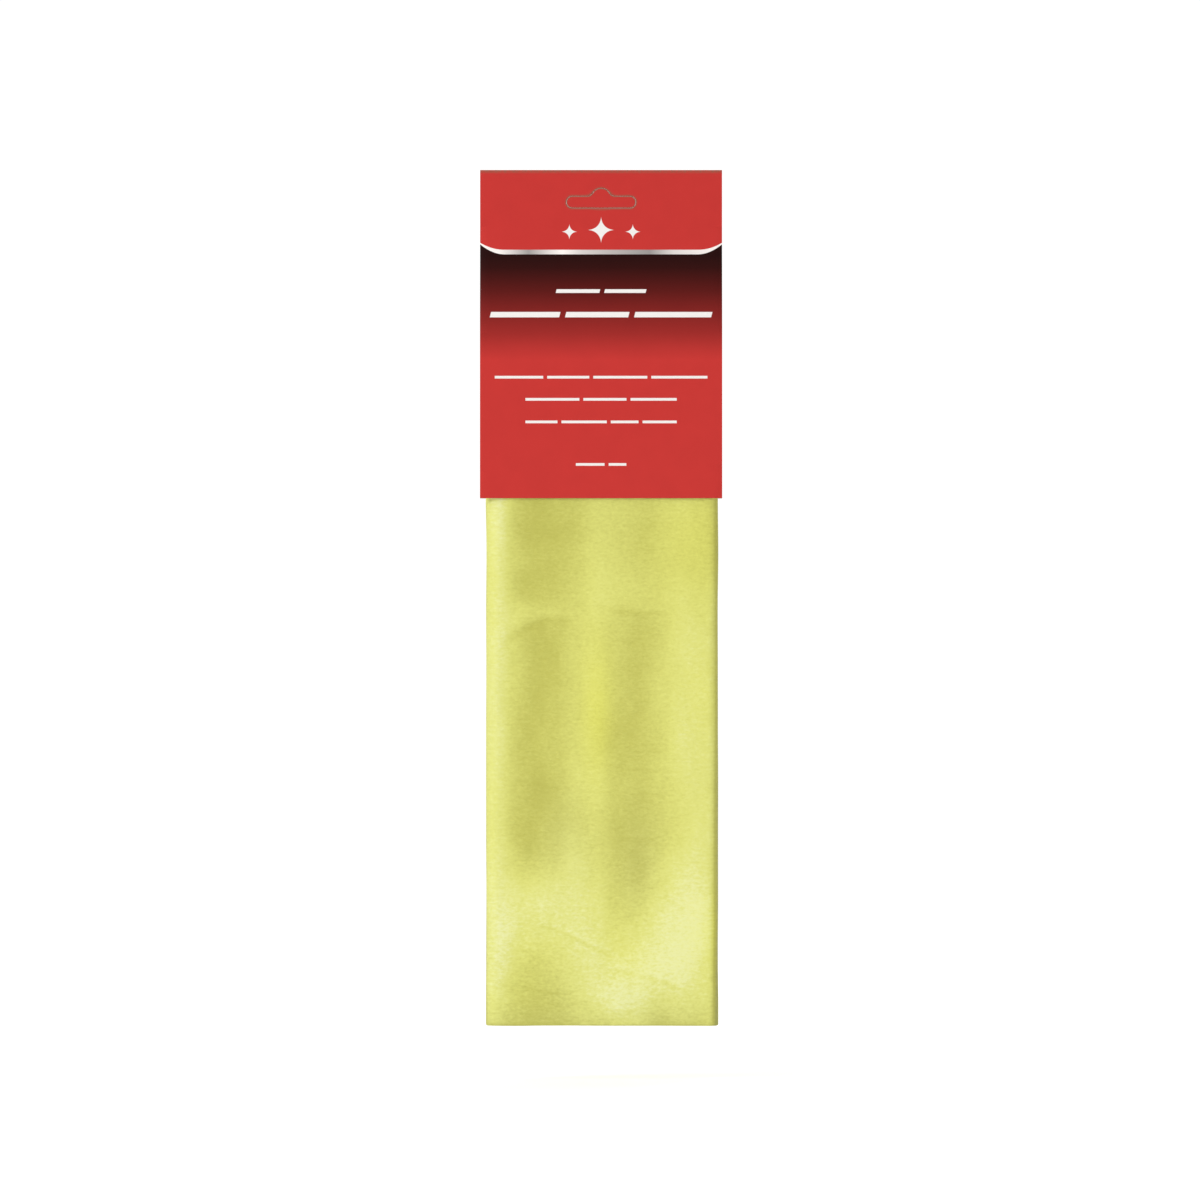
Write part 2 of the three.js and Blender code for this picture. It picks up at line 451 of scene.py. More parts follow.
# Broken rules: place down, half length, half height, lean, and the places of their gaps
RULES = (
    (55.7, 20.5, 0.85, 0.25, (0.5,)),
    (66.6, 50.5, 1.25, 0.25, (-17.5, 14.0)),
    (95.2, 48.5, 0.6, 0.0, (-25.5, -4.5, 22.0)),
    (105.3, 34.5, 0.6, 0.0, (-9.0, 12.5)),
    (115.6, 34.5, 0.6, 0.0, (-19.0, 3.5, 18.0)),
    (135.0, 11.5, 0.6, 0.0, (2.5,)),
)
RULE_GAP = 2.4
# The red varies by this share from blotch to blotch
BLOTCH = 0.015
# Patches are given as bumps per metre, detail, and the noise's values between which they fade in
BLOTCHES = (90, 4, 0.3, 0.7)


def flat_place(start):
    """The card's UV map, and the millimetres across from its middle and down from its crease."""
    flat = start.node("ShaderNodeUVMap", {"uv_map": "Flat"})
    return flat, flat.axis(0) / MM, flat.axis(1) / MM


def rule_mask(across, down, height, half_length, half_height, lean, gaps):
    """1 inside a level rule that is broken at its gaps."""
    off = down - height
    leant = across + off * lean
    inside = 1 - past_edge(off.size(), half_height)
    inside = inside * (1 - past_edge(leant.size(), half_length))
    for gap in gaps:
        half_gap = RULE_GAP * half_height**0.5 / 2
        inside = inside * past_edge((leant - gap).size(), half_gap)
    return inside


def past_edge(distance, reach, softness=PRINT_EDGE):
    """0 within a printed edge's reach, and 1 outside it."""
    return distance.ramp_from(reach - softness, reach + softness)


def sparkle_mask(across, down, middle, height, reach):
    """1 inside a four-pointed sparkle."""
    wide = ((across - middle).size() / reach).power(SPARKLE_POWER)
    tall = ((down - height).size() / reach).power(SPARKLE_POWER)
    return 1 - past_edge(wide + tall, 1, SPARKLE_EDGE)


def print_colour(start, settings, front):
    """The card's UV map and the colour of its printed face: plain red at the back."""
    flat, across, down = flat_place(start)
    red = flat.patches(*BLOTCHES).mixed(shade(settings.red, 1 - BLOTCH), shade(settings.red, 1 + BLOTCH))
    if not front:
        return flat, red
    along = (across.size() - STRIPE_STRAIGHT).largest(0) / (CARD_HALF / MM - STRIPE_STRAIGHT)
    middle = STRIPE_MIDDLE - along.power(2) * STRIPE_RISE
    half = (1 - along.power(STRIPE_TAPER_POWER) * STRIPE_TAPER) * STRIPE_HALF
    below = past_edge(down - middle, 0)
    fade_share = ((down - BAND_START) / (BAND_END - BAND_START)).held()
    fade = start.node("ShaderNodeValToRGB", {"stops": grey_stops(BAND_STOPS)}, {0: fade_share})
    band = fade.mixed(tuple(settings.dark), red)
    colour = below.mixed(red, band)
    marks = [rule_mask(across, down, *rule) for rule in RULES]
    marks += [sparkle_mask(across, down, *sparkle) for sparkle in SPARKLES]
    mark = marks[0]
    for other in marks[1:]:
        mark = mark.largest(other)
    colour = mark.mixed(colour, INK)
    silver_share = across / (2 * CARD_HALF / MM) + 0.5
    silver_stops = {"stops": grey_stops(SILVER_STOPS, SILVER_WARMTH)}
    silver = start.node("ShaderNodeValToRGB", silver_stops, {0: silver_share})
    in_stripe = 1 - past_edge((down - middle).size() - half, 0, STRIPE_EDGE)
    return flat, in_stripe.mixed(colour, silver)


def grey_stops(stops, warmth=(1, 1, 1)):
    """Ramp stops of greys, each tinted alike."""
    return [(place, (*(value * part for part in warmth), 1)) for place, value in stops]


def shade(colour, share):
    """A colour made lighter or darker."""
    return tuple(part * share for part in colour[:3]) + (1,)


# A smooth minimum rounds a corner as a fillet does when its reach is this many radii
FILLET_REACH = 1.24


def slot_line(flat, settings):
    """How far a point lies from the hang slot's outline, from the UV map of the flat card."""
    crease_half = (TAB_INSIDE + BOARD / 2) * math.pi / 2
    slot_down = crease_half + CARD_TOP - TAB_FACE
    end = (SLOT_TOP - settings.hump_rise - SLOT_LOW) / 2
    past_end = (flat.axis(0).size() - (SLOT_HALF - end)).largest(0)
    from_middle = flat.axis(1) - (slot_down - SLOT_LOW - end)
    body = (past_end.power(2) + from_middle.power(2)).power(0.5) - end
    from_centre = flat.axis(1) - (slot_down - SLOT_TOP + settings.hump_radius)
    hump = (flat.axis(0).power(2) + from_centre.power(2)).power(0.5) - settings.hump_radius
    return body.smoothly_smallest(hump, FILLET_REACH * settings.hump_fillet)


# Brown on the print: round the slot it is painted shade of the die cut, along the crease it is rubbed
# print. It fades between these distances from the slot's outline and from the crease
SLOT_SHADE = (0.1 * MM, 0.95 * MM)
CREASE_SOIL = (0.6 * MM, 2.0 * MM)
# The least share of brown in each, and how much more there is in patches
SLOT_SHADE_SHARES = (0.4, 0.3)
CREASE_SOIL_SHARES = (0.45, 0.5)
SLOT_SHADE_PATCHES = (300, 2, 0.2, 0.8)
CREASE_PATCHES = (700, 3, 0.35, 0.75)
# Noises of the coated board: bumps per metre and detail
COAT_GRAIN = (2600, 3)
COAT_RIPPLE = (60, 2)
COAT_GLOSS = (240, 3)
# How high the grain and the ripple stand, and how much the gloss varies
GRAIN_HEIGHT = 0.3
RIPPLE_HEIGHT = 2
GLOSS_CHANGE = 0.1
PRINT_RELIEF = 0.06 * MM
PRINT_BUMP = 0.6
PRINT_ROUGHNESS = 0.4


def printed_board(name, settings, front):
    """Coated board printed on its outer face, darkened round the slot with painted shade of the die cut,
    and rubbed brown along the crease.
    """
    material, start = new_material(name)
    flat, colour = print_colour(start, settings, front)
    least, more = SLOT_SHADE_SHARES
    # Painted shade of the die cut round the slot
    near_slot = 1 - slot_line(flat, settings).size().ramp_from(*SLOT_SHADE)
    soil_and_shade = near_slot * (flat.patches(*SLOT_SHADE_PATCHES) * more + least)
    colour = soil_and_shade.mixed(colour, tuple(settings.soil_and_shade))
    least, more = CREASE_SOIL_SHARES
    near_crease = 1 - flat.axis(1).ramp_from(*CREASE_SOIL)
    soil_and_shade = near_crease * (flat.patches(*CREASE_PATCHES) * more + least)
    colour = soil_and_shade.held().mixed(colour, tuple(settings.soil_and_shade))
    grain = flat.noise(*COAT_GRAIN)
    ripple = flat.noise(*COAT_RIPPLE)
    height = grain * GRAIN_HEIGHT + ripple * RIPPLE_HEIGHT
    normal = bump(start, height, PRINT_RELIEF, PRINT_BUMP)
    rough = flat.noise(*COAT_GLOSS) * GLOSS_CHANGE + PRINT_ROUGHNESS
    inputs = {"Base Color": colour, "Roughness": rough, "Normal": normal}
    return finish_material(material, start, inputs, **{"Specular IOR Level": 0.06})


# Fibres of the bare board: bumps per metre and detail. They are short up and down
BOARD_FIBRES = (1500, 4)
FIBRE_STRETCH = (1, 1, 2.5)
DARK_TO_PALE = (0.3, 0.7)
BOARD_FLECKS = (3500, 2, 0.62, 0.72)
# Shares of the board's own colour in its dark fibres, its pale ones and its flecks
FIBRE_DARK = 0.88
FIBRE_PALE = 1.06
FLECK_DARK = 0.55
FLECK_COVER = 0.5
BOARD_RELIEF = 0.05 * MM
BOARD_ROUGHNESS = 0.82
BOARD_GLOSS_CHANGE = 0.1


def fibre_board(name, base):
    """Unprinted grey board with short fibres."""
    material, start = new_material(name)
    place = object_place(start)
    fibres = place.stretched(FIBRE_STRETCH).noise(*BOARD_FIBRES)
    flecks = place.patches(*BOARD_FLECKS)
    colour = fibres.ramp_from(*DARK_TO_PALE).mixed(shade(base, FIBRE_DARK), shade(base, FIBRE_PALE))
    colour = (flecks * FLECK_COVER).mixed(colour, shade(base, FLECK_DARK))
    normal = bump(start, fibres, BOARD_RELIEF)
    rough = fibres * BOARD_GLOSS_CHANGE + BOARD_ROUGHNESS
    inputs = {"Base Color": colour, "Roughness": rough, "Normal": normal}
    return finish_material(material, start, inputs, **{"Specular IOR Level": 0.3})


# Noises of the nap: stretch along the skin, bumps per metre, detail and roughness
CLOUDS = (0.6, 38, 3, 0.55)
STROKES = (2.2, 300, 3, 0.6)
CRUMBS = (1.5, 580, 1, 0.5)
FIBRES = (1.3, 2600, 2, 0.6)
# How much each noise moves the nap's tone
CLOUD_TONE = 0.3
STROKE_TONE = 0.45
CRUMB_TONE = 0.36
FIBRE_TONE = 0.06
PALE_GRAIN = 0.7
# How high each noise stands
STROKE_RELIEF = 0.8
CRUMB_RELIEF = 0.5
FIBRE_RELIEF = 0.06
# Strokes and crumbs are stronger away from this place down the skin, and weaker where the painted shade
# is deepest
CALM_PLACE = 160 * MM
STRONGER = 0.35
STRONGER_FROM = (60 * MM, 140 * MM)
WEAKER = 0.24
SHADED_TO_LIT = (0.1, 0.6)
# Levels of the painted shading, with grain, between which one colour of the nap gives way to the next
DEEP_TO_MIDDLE = (-0.1, 0.62)
LIGHT_TO_PALE = (0.5, 1.12)
LOWER_TO_UPPER = (0.43, 1.0)
SHADED_EDGE_TO_NAP = (-1.1, -0.05)
# Blue rises in the paler patches, which are painted sheen, and falls in the yellower ones
PAINTED_SHEEN = (0.99, 1, 1.26)
YELLOWER = (1.01, 1, 0.74)
NAP_RELIEF = 0.4 * MM
NAP_BUMP = 0.8
NAP_ROUGHNESS = 0.88
NAP_GLOSS_CHANGE = 0.08


def chamois_nap(settings):
    """Sueded leather: shading painted on the mesh, painted shade in the folds and along the edges and
    painted light on the ridges, broken up by strokes and fibres of the nap.
    """
    material, start = new_material("chamois_nap")
    skin = start.node("ShaderNodeUVMap", {"uv_map": "Skin"})
    # Painted shade and painted light of the folds and edges, laid on the mesh as an attribute
    painted_shading = painted(start, "Tone")
    clouds, strokes, crumbs, fibres = (
        skin.stretched((1, stretch, 1)).noise(*rest)
        for stretch, *rest in (CLOUDS, STROKES, CRUMBS, FIBRES)
    )
    coarse = (skin.axis(1) - CALM_PLACE).size().ramp_from(*STRONGER_FROM) * STRONGER + 1
    quiet = painted_shading.ramp_from(*SHADED_TO_LIT) * WEAKER + (1 - WEAKER)
    marks = (strokes - 0.5) * STROKE_TONE + (crumbs - 0.5) * CRUMB_TONE
    grain = marks * coarse * quiet + (fibres - 0.5) * FIBRE_TONE
    shown = painted_shading + (clouds - 0.5) * CLOUD_TONE + grain
    lower = shown.ramp_from(*DEEP_TO_MIDDLE).mixed(tuple(settings.deep_and_shaded), tuple(settings.middle))
    raised = (painted_shading + grain * PALE_GRAIN).ramp_from(*LIGHT_TO_PALE)
    upper = raised.mixed(tuple(settings.light), tuple(settings.pale_and_lit))
    colour = shown.ramp_from(*LOWER_TO_UPPER).mixed(lower, upper)
    # Yellower patches, and paler ones that are painted sheen
    yellow_and_sheen = painted(start, "Oil")
    colour = (yellow_and_sheen * 0.5 + 0.5).mixed(colour.stretched(PAINTED_SHEEN), colour.stretched(YELLOWER))
    # Painted shade along the rolled edges and the foot
    colour = (shown + grain).ramp_from(*SHADED_EDGE_TO_NAP).mixed(tuple(settings.shaded_edge), colour)
    height = strokes * STROKE_RELIEF + crumbs * CRUMB_RELIEF + fibres * FIBRE_RELIEF
    normal = bump(start, height, NAP_RELIEF, NAP_BUMP)
    rough = fibres * NAP_GLOSS_CHANGE + NAP_ROUGHNESS
    inputs = {"Base Color": colour, "Roughness": rough, "Normal": normal}
    constants = {
        "Specular IOR Level": 0.15,
        "Sheen Weight": 0.25,
        "Sheen Roughness": 0.5,
        "Sheen Tint": (0.95, 0.95, 0.7, 1),
    }
    return finish_material(material, start, inputs, **constants)


TAPE_CLEAR = (0.78, 0.75, 0.64, 1)
TAPE_BUBBLE = (0.88, 0.87, 0.82, 1)
BUBBLES = (900, 3, 0.55, 0.68)
TAPE_RELIEF = 0.03 * MM
TAPE_ROUGHNESS = 0.3
TAPE_GLOSS_CHANGE = 0.2


def tape_film():
    """Milky double-sided tape with small trapped bubbles."""
    material, start = new_material("tape_film")
    place = object_place(start)
    bubbles = place.patches(*BUBBLES)
    colour = bubbles.mixed(TAPE_CLEAR, TAPE_BUBBLE)
    normal = bump(start, bubbles, TAPE_RELIEF)
    rough = bubbles * TAPE_GLOSS_CHANGE + TAPE_ROUGHNESS
    inputs = {"Base Color": colour, "Roughness": rough, "Normal": normal}
    return finish_material(material, start, inputs)


def activate(piece):
    """Deselects everything, then selects one object and makes it active."""
    bpy.ops.object.select_all(action="DESELECT")
    piece.select_set(True)
    bpy.context.view_layer.objects.active = piece


def choose(piece, kind, test):
    """In edit mode, selects the edges or faces that pass a test."""
    bpy.ops.mesh.select_mode(type=kind)
    bpy.ops.mesh.select_all(action="DESELECT")
    shape = bmesh.from_edit_mesh(piece.data)
    items = shape.edges if kind == "EDGE" else shape.faces
    for item in items:
        if test(item):
            item.select_set(True)
    bmesh.update_edit_mesh(piece.data)


def edge_middle(edge):
    """The point halfway along an edge."""
    return (edge.verts[0].co + edge.verts[1].co) / 2


def apply_modifier(piece, kind, **settings):
    """Adds a modifier with these settings and applies it."""
    activate(piece)
    modifier = piece.modifiers.new(kind.title(), kind)
    for name, value in settings.items():
        setattr(modifier, name, value)
    bpy.ops.object.modifier_apply(modifier=modifier.name)


def join_or_cut(piece, other, operation):
    """Joins or cuts a piece with another solid, and removes the other."""
    apply_modifier(piece, "BOOLEAN", object=other, operation=operation, solver="EXACT")
    bpy.data.objects.remove(other)


def place_in_mesh(piece):
    """Moves the object's place, turn and size into its mesh."""
    activate(piece)
    bpy.ops.object.transform_apply(location=True, rotation=True, scale=True)


def add_block(low, high):
    """A box between two corners, with its place in its mesh."""
    bpy.ops.object.select_all(action="DESELECT")
    middle = (Vector(low) + Vector(high)) / 2
    bpy.ops.mesh.primitive_cube_add(size=1, location=middle, scale=Vector(high) - Vector(low))
    block = bpy.context.active_object
    place_in_mesh(block)
    return block


PIN_SIDES = 96


def add_pin(x, z, radius, half_depth):
    """A round pin along Y, with its place in its mesh."""
    bpy.ops.object.select_all(action="DESELECT")
    bpy.ops.mesh.primitive_cylinder_add(
        vertices=PIN_SIDES,
        radius=radius,
        depth=2 * half_depth,
        location=(x, 0, z),
        rotation=(math.pi / 2, 0, 0),
    )
    pin = bpy.context.active_object
    place_in_mesh(pin)
    return pin


# The slot's cutter is this many times as thick as the tab. Its ends are rounded by a bevel
CUTTER_REACH = 4
END_SHARE = 0.4999
END_SEGMENTS = 14
# Its raised middle, its roots and the pins that round them off are thicker than it by these factors,
# the right root by a step more and the left one by a step less
HUMP_CAP = 1.1
ROOT_CAP = 1.2
ROOT_CAP_STEP = 0.1
FILLET_CAP = 2
# A root ends this share of its fillet short of the tangent, so that it has no knife edge
ROOT_SHORT = 0.01


def slot_prism(name, settings, inset):
    """A thick solid with the hang slot's outline, drawn in by an inset."""
    thick = CUTTER_REACH * TAB_FACE
    body_top = SLOT_TOP - settings.hump_rise - inset
    body_low = SLOT_LOW + inset
    half = SLOT_HALF - inset
    prism = add_block((-half, -thick, body_low), (half, thick, body_top))
    prism.name = name
    bpy.ops.object.mode_set(mode="EDIT")
    choose(prism, "EDGE", lambda e: abs(e.verts[0].co.y - e.verts[1].co.y) > thick)
    end_radius = (body_top - body_low) * END_SHARE
    bpy.ops.mesh.bevel(offset=end_radius, segments=END_SEGMENTS, affect="EDGES")
    bpy.ops.object.mode_set(mode="OBJECT")
    radius = settings.hump_radius - inset
    centre = SLOT_TOP - settings.hump_radius
    join_or_cut(prism, add_pin(0, centre, radius, HUMP_CAP * thick), "UNION")
    fillet = settings.hump_fillet + inset
    fillet_z = body_top + fillet
    fillet_x = math.sqrt((radius + fillet) ** 2 - (fillet_z - centre) ** 2)
    touch_z = centre + (fillet_z - centre) * radius / (radius + fillet)
    root_x = fillet_x - ROOT_SHORT * fillet
    for side in (-1, 1):
        ends = sorted((side * radius / 2, side * root_x))
        depth = (ROOT_CAP + ROOT_CAP_STEP * side) * thick
        root = add_block((ends[0], -depth, body_low + fillet), (ends[1], depth, touch_z))
        pin = add_pin(side * fillet_x, fillet_z, fillet, FILLET_CAP * thick)
        join_or_cut(root, pin, "DIFFERENCE")
        join_or_cut(prism, root, "UNION")
    return prism


def slot_piece(name, settings, inset, side):
    """One layer's die-cut piece, as thick as the board."""
    ends = sorted((side * TAB_INSIDE, side * TAB_FACE))
    piece = add_block((-SLOT_HALF, ends[0], SLOT_LOW), (SLOT_HALF, ends[1], SLOT_TOP))
    piece.name = name
    join_or_cut(piece, slot_prism("slot_tool", settings, inset), "INTERSECT")
    return piece


def card_line():
    """Half of the card's middle line as (depth, height) points, from the crease down."""
    half = BOARD / 2
    tab_foot = SLOT_LOW - bpy.context.scene.pack_card.tab_below_slot
    return [
        (TAB_INSIDE + half, CARD_TOP - TAB_FACE),
        (TAB_INSIDE + half, tab_foot),
        (CARD_INSIDE + half, SKIN_TOP),
        (CARD_INSIDE + half, HINGE),
        (CARD_INSIDE + half, CARD_BOTTOM),
    ]


def lay_flat_map(piece, side):
    """UV map Flat: metres across the card and along it from its crease."""
    line = card_line()
    radius = TAB_INSIDE + BOARD / 2
    lengths = [radius * math.pi / 2]
    for (y0, z0), (y1, z1) in zip(line, line[1:]):
        lengths.append(lengths[-1] + math.hypot(y1 - y0, z1 - z0))
    heights = [z for _, z in line]
    layer = piece.data.uv_layers.new(name="Flat")
    for loop in piece.data.loops:
        point = piece.data.vertices[loop.vertex_index].co
        if point.z > heights[0]:
            turn = math.atan2(side * point.y, point.z - heights[0])
            down = radius * max(turn, 0)
        else:
            down = float(np.interp(-point.z, [-z for z in heights], lengths))
        layer.data[loop.index].uv = (point.x, down)


# Heights closer than the first count as one, and points closer than the second are merged
SAME_HEIGHT = 0.01 * MM
SAME_POINT = 0.005 * MM
SHARP = math.radians(50)
WEAR_STEPS = 2
CRUSH_STEPS = 3
CREASE_STEPS = 8
CARD_COLUMNS = 24
FREE_END_ROWS = 36
HINGE_ROWS = 10
SOFT_BEND = 5 * MM
SOFT_BEND_STEPS = 6


def card_half(name, side, settings, printed):
    """One layer of the folded card, from the crease to its free end."""
    line = card_line()
    tab_y, crease_z = line[0]
    bpy.ops.object.select_all(action="DESELECT")
    bpy.ops.mesh.primitive_plane_add(size=1, location=(0, side * tab_y, 0), rotation=(math.pi / 2, 0, 0))
    piece = bpy.context.active_object
    piece.name = name
    place_in_mesh(piece)
    bpy.ops.object.mode_set(mode="EDIT")
    tab_z = line[1][1]
    bpy.ops.transform.resize(value=(2 * CARD_HALF, 1, crease_z - tab_z))
    bpy.ops.transform.translate(value=(0, 0, (crease_z + tab_z) / 2))
    for (y0, z0), (y1, z1) in zip(line[1:], line[2:]):
        choose(piece, "EDGE", lambda e: abs(edge_middle(e).z - z0) < SAME_HEIGHT)
        step = (0, side * (y1 - y0), z1 - z0)
        bpy.ops.mesh.extrude_region_move(TRANSFORM_OT_translate={"value": step})
    choose(piece, "EDGE", lambda e: abs(edge_middle(e).z - crease_z) < SAME_HEIGHT)
    bpy.ops.mesh.spin(
        steps=CREASE_STEPS, angle=-side * math.pi / 2, center=(0, 0, crease_z), axis=(1, 0, 0)
    )
    cut_rows(-CARD_HALF, CARD_COLUMNS, 2 * CARD_HALF, "X")
    cut_rows(CARD_BOTTOM, FREE_END_ROWS, HINGE - CARD_BOTTOM, "Z")
    cut_rows(BEND_LOW, HINGE_ROWS, BEND_TOP - BEND_LOW, "Z")
    soften_bends(piece, line)
    curl_corners(piece, side)
    bpy.ops.object.mode_set(mode="OBJECT")
    face_outwards(piece, side)
    apply_modifier(piece, "SOLIDIFY", thickness=BOARD, offset=0, use_even_offset=True)
    wear_edges(piece, settings)
    inset = (CUT - settings.cut_gap) / 2
    join_or_cut(piece, slot_prism("slot_tool", settings, inset), "DIFFERENCE")
    crush_rim(piece, side, settings)
    dress_card(piece, side, printed)
    return piece


def wear_edges(piece, settings):
    """Rounds every sharp edge of the board a little."""
    apply_modifier(
        piece, "BEVEL", width=settings.edge_wear, segments=WEAR_STEPS, limit_method="ANGLE",
        angle_limit=SHARP,
    )


def crush_rim(piece, side, settings):
    """Merges the cut's near points and bevels the printed side's rim along it."""
    activate(piece)
    bpy.ops.object.mode_set(mode="EDIT")
    bpy.ops.mesh.select_all(action="SELECT")
    bpy.ops.mesh.remove_doubles(threshold=SAME_POINT)
    choose(piece, "EDGE", lambda e: is_slot_rim(e, side))
    bpy.ops.mesh.bevel(offset=settings.rim_crush, segments=CRUSH_STEPS, affect="EDGES")
    bpy.ops.object.mode_set(mode="OBJECT")


def is_slot_rim(edge, side):
    """Whether an edge is a sharp one on the tab's printed face, along the slot."""
    middle = edge_middle(edge)
    on_face = abs(middle.y - side * TAB_FACE) < 2 * SAME_HEIGHT
    return on_face and by_slot(middle) and edge.calc_face_angle(0) > SHARP


def by_slot(point):
    """Whether a point lies in the slot's box, with a little room round it."""
    return abs(point.x) < SLOT_HALF + CUT and SLOT_LOW - CUT < point.z < SLOT_TOP + CUT


def cut_rows(start, count, reach, along):
    """Cuts the whole mesh with evenly spaced planes across one axis."""
    normal = (1, 0, 0) if along == "X" else (0, 0, 1)
    for i in range(1, count):
        place = Vector(normal) * (start + i / count * reach)
        bpy.ops.mesh.select_all(action="SELECT")
        bpy.ops.mesh.bisect(plane_co=place, plane_no=normal)


def soften_bends(piece, line):
    """Rounds the two soft bends of the side, where the card leaves the tab and meets the skin."""
    for _, height in line[1:3]:
        choose(piece, "EDGE", lambda e: is_level_at(e, height))
        bpy.ops.mesh.bevel(offset=SOFT_BEND, segments=SOFT_BEND_STEPS, affect="EDGES")


def is_level_at(edge, height):
    """Whether both ends of an edge lie at this height."""
    ends = [v.co.z for v in edge.verts]
    return max(abs(z - height) for z in ends) < SAME_HEIGHT


# How far the free end's foot lifts, and shares of it at its middle, its corners and its right side
CURL = 0.6 * MM
CURL_MIDDLE = 0.06
CURL_CORNERS = 0.75
CURL_LEAN = 0.12


def curl_corners(piece, side):
    """Lifts the free end's lower corners a little, as handled board does."""
    shape = bmesh.from_edit_mesh(piece.data)
    for vert in shape.verts:
        down = max(HINGE - vert.co.z, 0) / (HINGE - CARD_BOTTOM)
        across = vert.co.x / CARD_HALF
        lift = CURL_MIDDLE + CURL_CORNERS * across**4 + CURL_LEAN * across
        vert.co.y += side * CURL * lift * down**2
    bmesh.update_edit_mesh(piece.data)


def face_outwards(piece, side):
    """Turns every face of the open layer away from the middle of the card."""
    activate(piece)
    bpy.ops.object.mode_set(mode="EDIT")
    bpy.ops.mesh.select_all(action="SELECT")
    bpy.ops.mesh.normals_make_consistent(inside=False)
    shape = bmesh.from_edit_mesh(piece.data)
    if sum(face.normal.y * face.calc_area() for face in shape.faces) * side < 0:
        bpy.ops.mesh.flip_normals()
    bpy.ops.object.mode_set(mode="OBJECT")


# How squarely a face looks outwards, as a cosine, to be printed, to be flat, and to be of the rim
PRINTED_FACING = 0.85
FLAT_FACING = 0.999
RIM_FACING = -0.5
# Faces that look this squarely along Y aren't shaded smooth
FLAT_SHADED = 0.9998
SMOOTH_ANGLE = math.radians(30)
# Places of the three finishes among a piece's materials
PRINTED, BARE, CRUSHED_SHADED = range(3)


def dress_card(piece, side, printed):
    """Gives outer faces the print, the slot's rim crushed board darkened with painted shade, and all
    others bare board.
    """
    lay_flat_map(piece, side)
    for material in (printed, bpy.data.materials["bare_board"], bpy.data.materials["crushed_rim"]):
        piece.data.materials.append(material)
    crease = Vector((0, 0, CARD_TOP - TAB_FACE))
    for face in piece.data.polygons:
        outward = Vector((0, side, 0))
        if face.center.z > crease.z:
            outward = (face.center - crease) * Vector((0, 1, 1))
        facing = face.normal.dot(outward.normalized())
        near_slot = by_slot(face.center)
        if facing > PRINTED_FACING and not (near_slot and facing < FLAT_FACING):
            face.material_index = PRINTED
        else:
            face.material_index = CRUSHED_SHADED if near_slot and facing > RIM_FACING else BARE
    activate(piece)
    bpy.ops.object.shade_smooth_by_angle(angle=SMOOTH_ANGLE)
    for face in piece.data.polygons:
        face.use_smooth = abs(face.normal.y) < FLAT_SHADED


NOISE_CELLS = 256
# Cells of the noise's grid where places across and down are 0
NOISE_ACROSS = 100
NOISE_DOWN = 30


def eased(share):
    """A share from 0 to 1 that starts and ends gently."""
    return share * share * (3 - 2 * share)


def soft_noise(across, down, wide, tall, seed):
    """Smooth random heights from -1 to 1 with bumps of about this size."""
    grid = np.random.default_rng(seed).uniform(-1, 1, (NOISE_CELLS, NOISE_CELLS))
    u = across / wide + NOISE_ACROSS
    v = down / tall + NOISE_DOWN
    i = np.floor(u).astype(int)
    j = np.floor(v).astype(int)
    s = eased(u - i)
    t = eased(v - j)
    i %= NOISE_CELLS - 1
    j %= NOISE_CELLS - 1
    low = grid[i, j] * (1 - s) + grid[i + 1, j] * s
    high = grid[i, j + 1] * (1 - s) + grid[i + 1, j + 1] * s
    return low * (1 - t) + high * t


def uneven(rows, across, down):
    """Sum of soft noises, each given as its height, its bumps' width and length, and its seed."""
    return sum(height * soft_noise(across, down, *rest) for height, *rest in rows)


def curve_through(stops, values, at):
    """A smooth curve through values at their stops. Values may hold a column for each point."""
    stops = np.asarray(stops, float)
    values = np.asarray(values, float)
    at = np.asarray(at, float)
    if values.ndim == 1:
        values = values[:, None] * np.ones(at.size)
    slopes = np.gradient(values, stops, axis=0)
    at = np.clip(at, stops[0], stops[-1])
    i = np.clip(np.searchsorted(stops, at, side="right") - 1, 0, len(stops) - 2)
    n = np.arange(at.size)
    gap = stops[i + 1] - stops[i]
    t = (at - stops[i]) / gap
    return (
        (2 * t**3 - 3 * t**2 + 1) * values[i, n]
        + (t**3 - 2 * t**2 + t) * gap * slopes[i, n]
        + (3 * t**2 - 2 * t**3) * values[i + 1, n]
        + (t**3 - t**2) * gap * slopes[i + 1, n]
    )


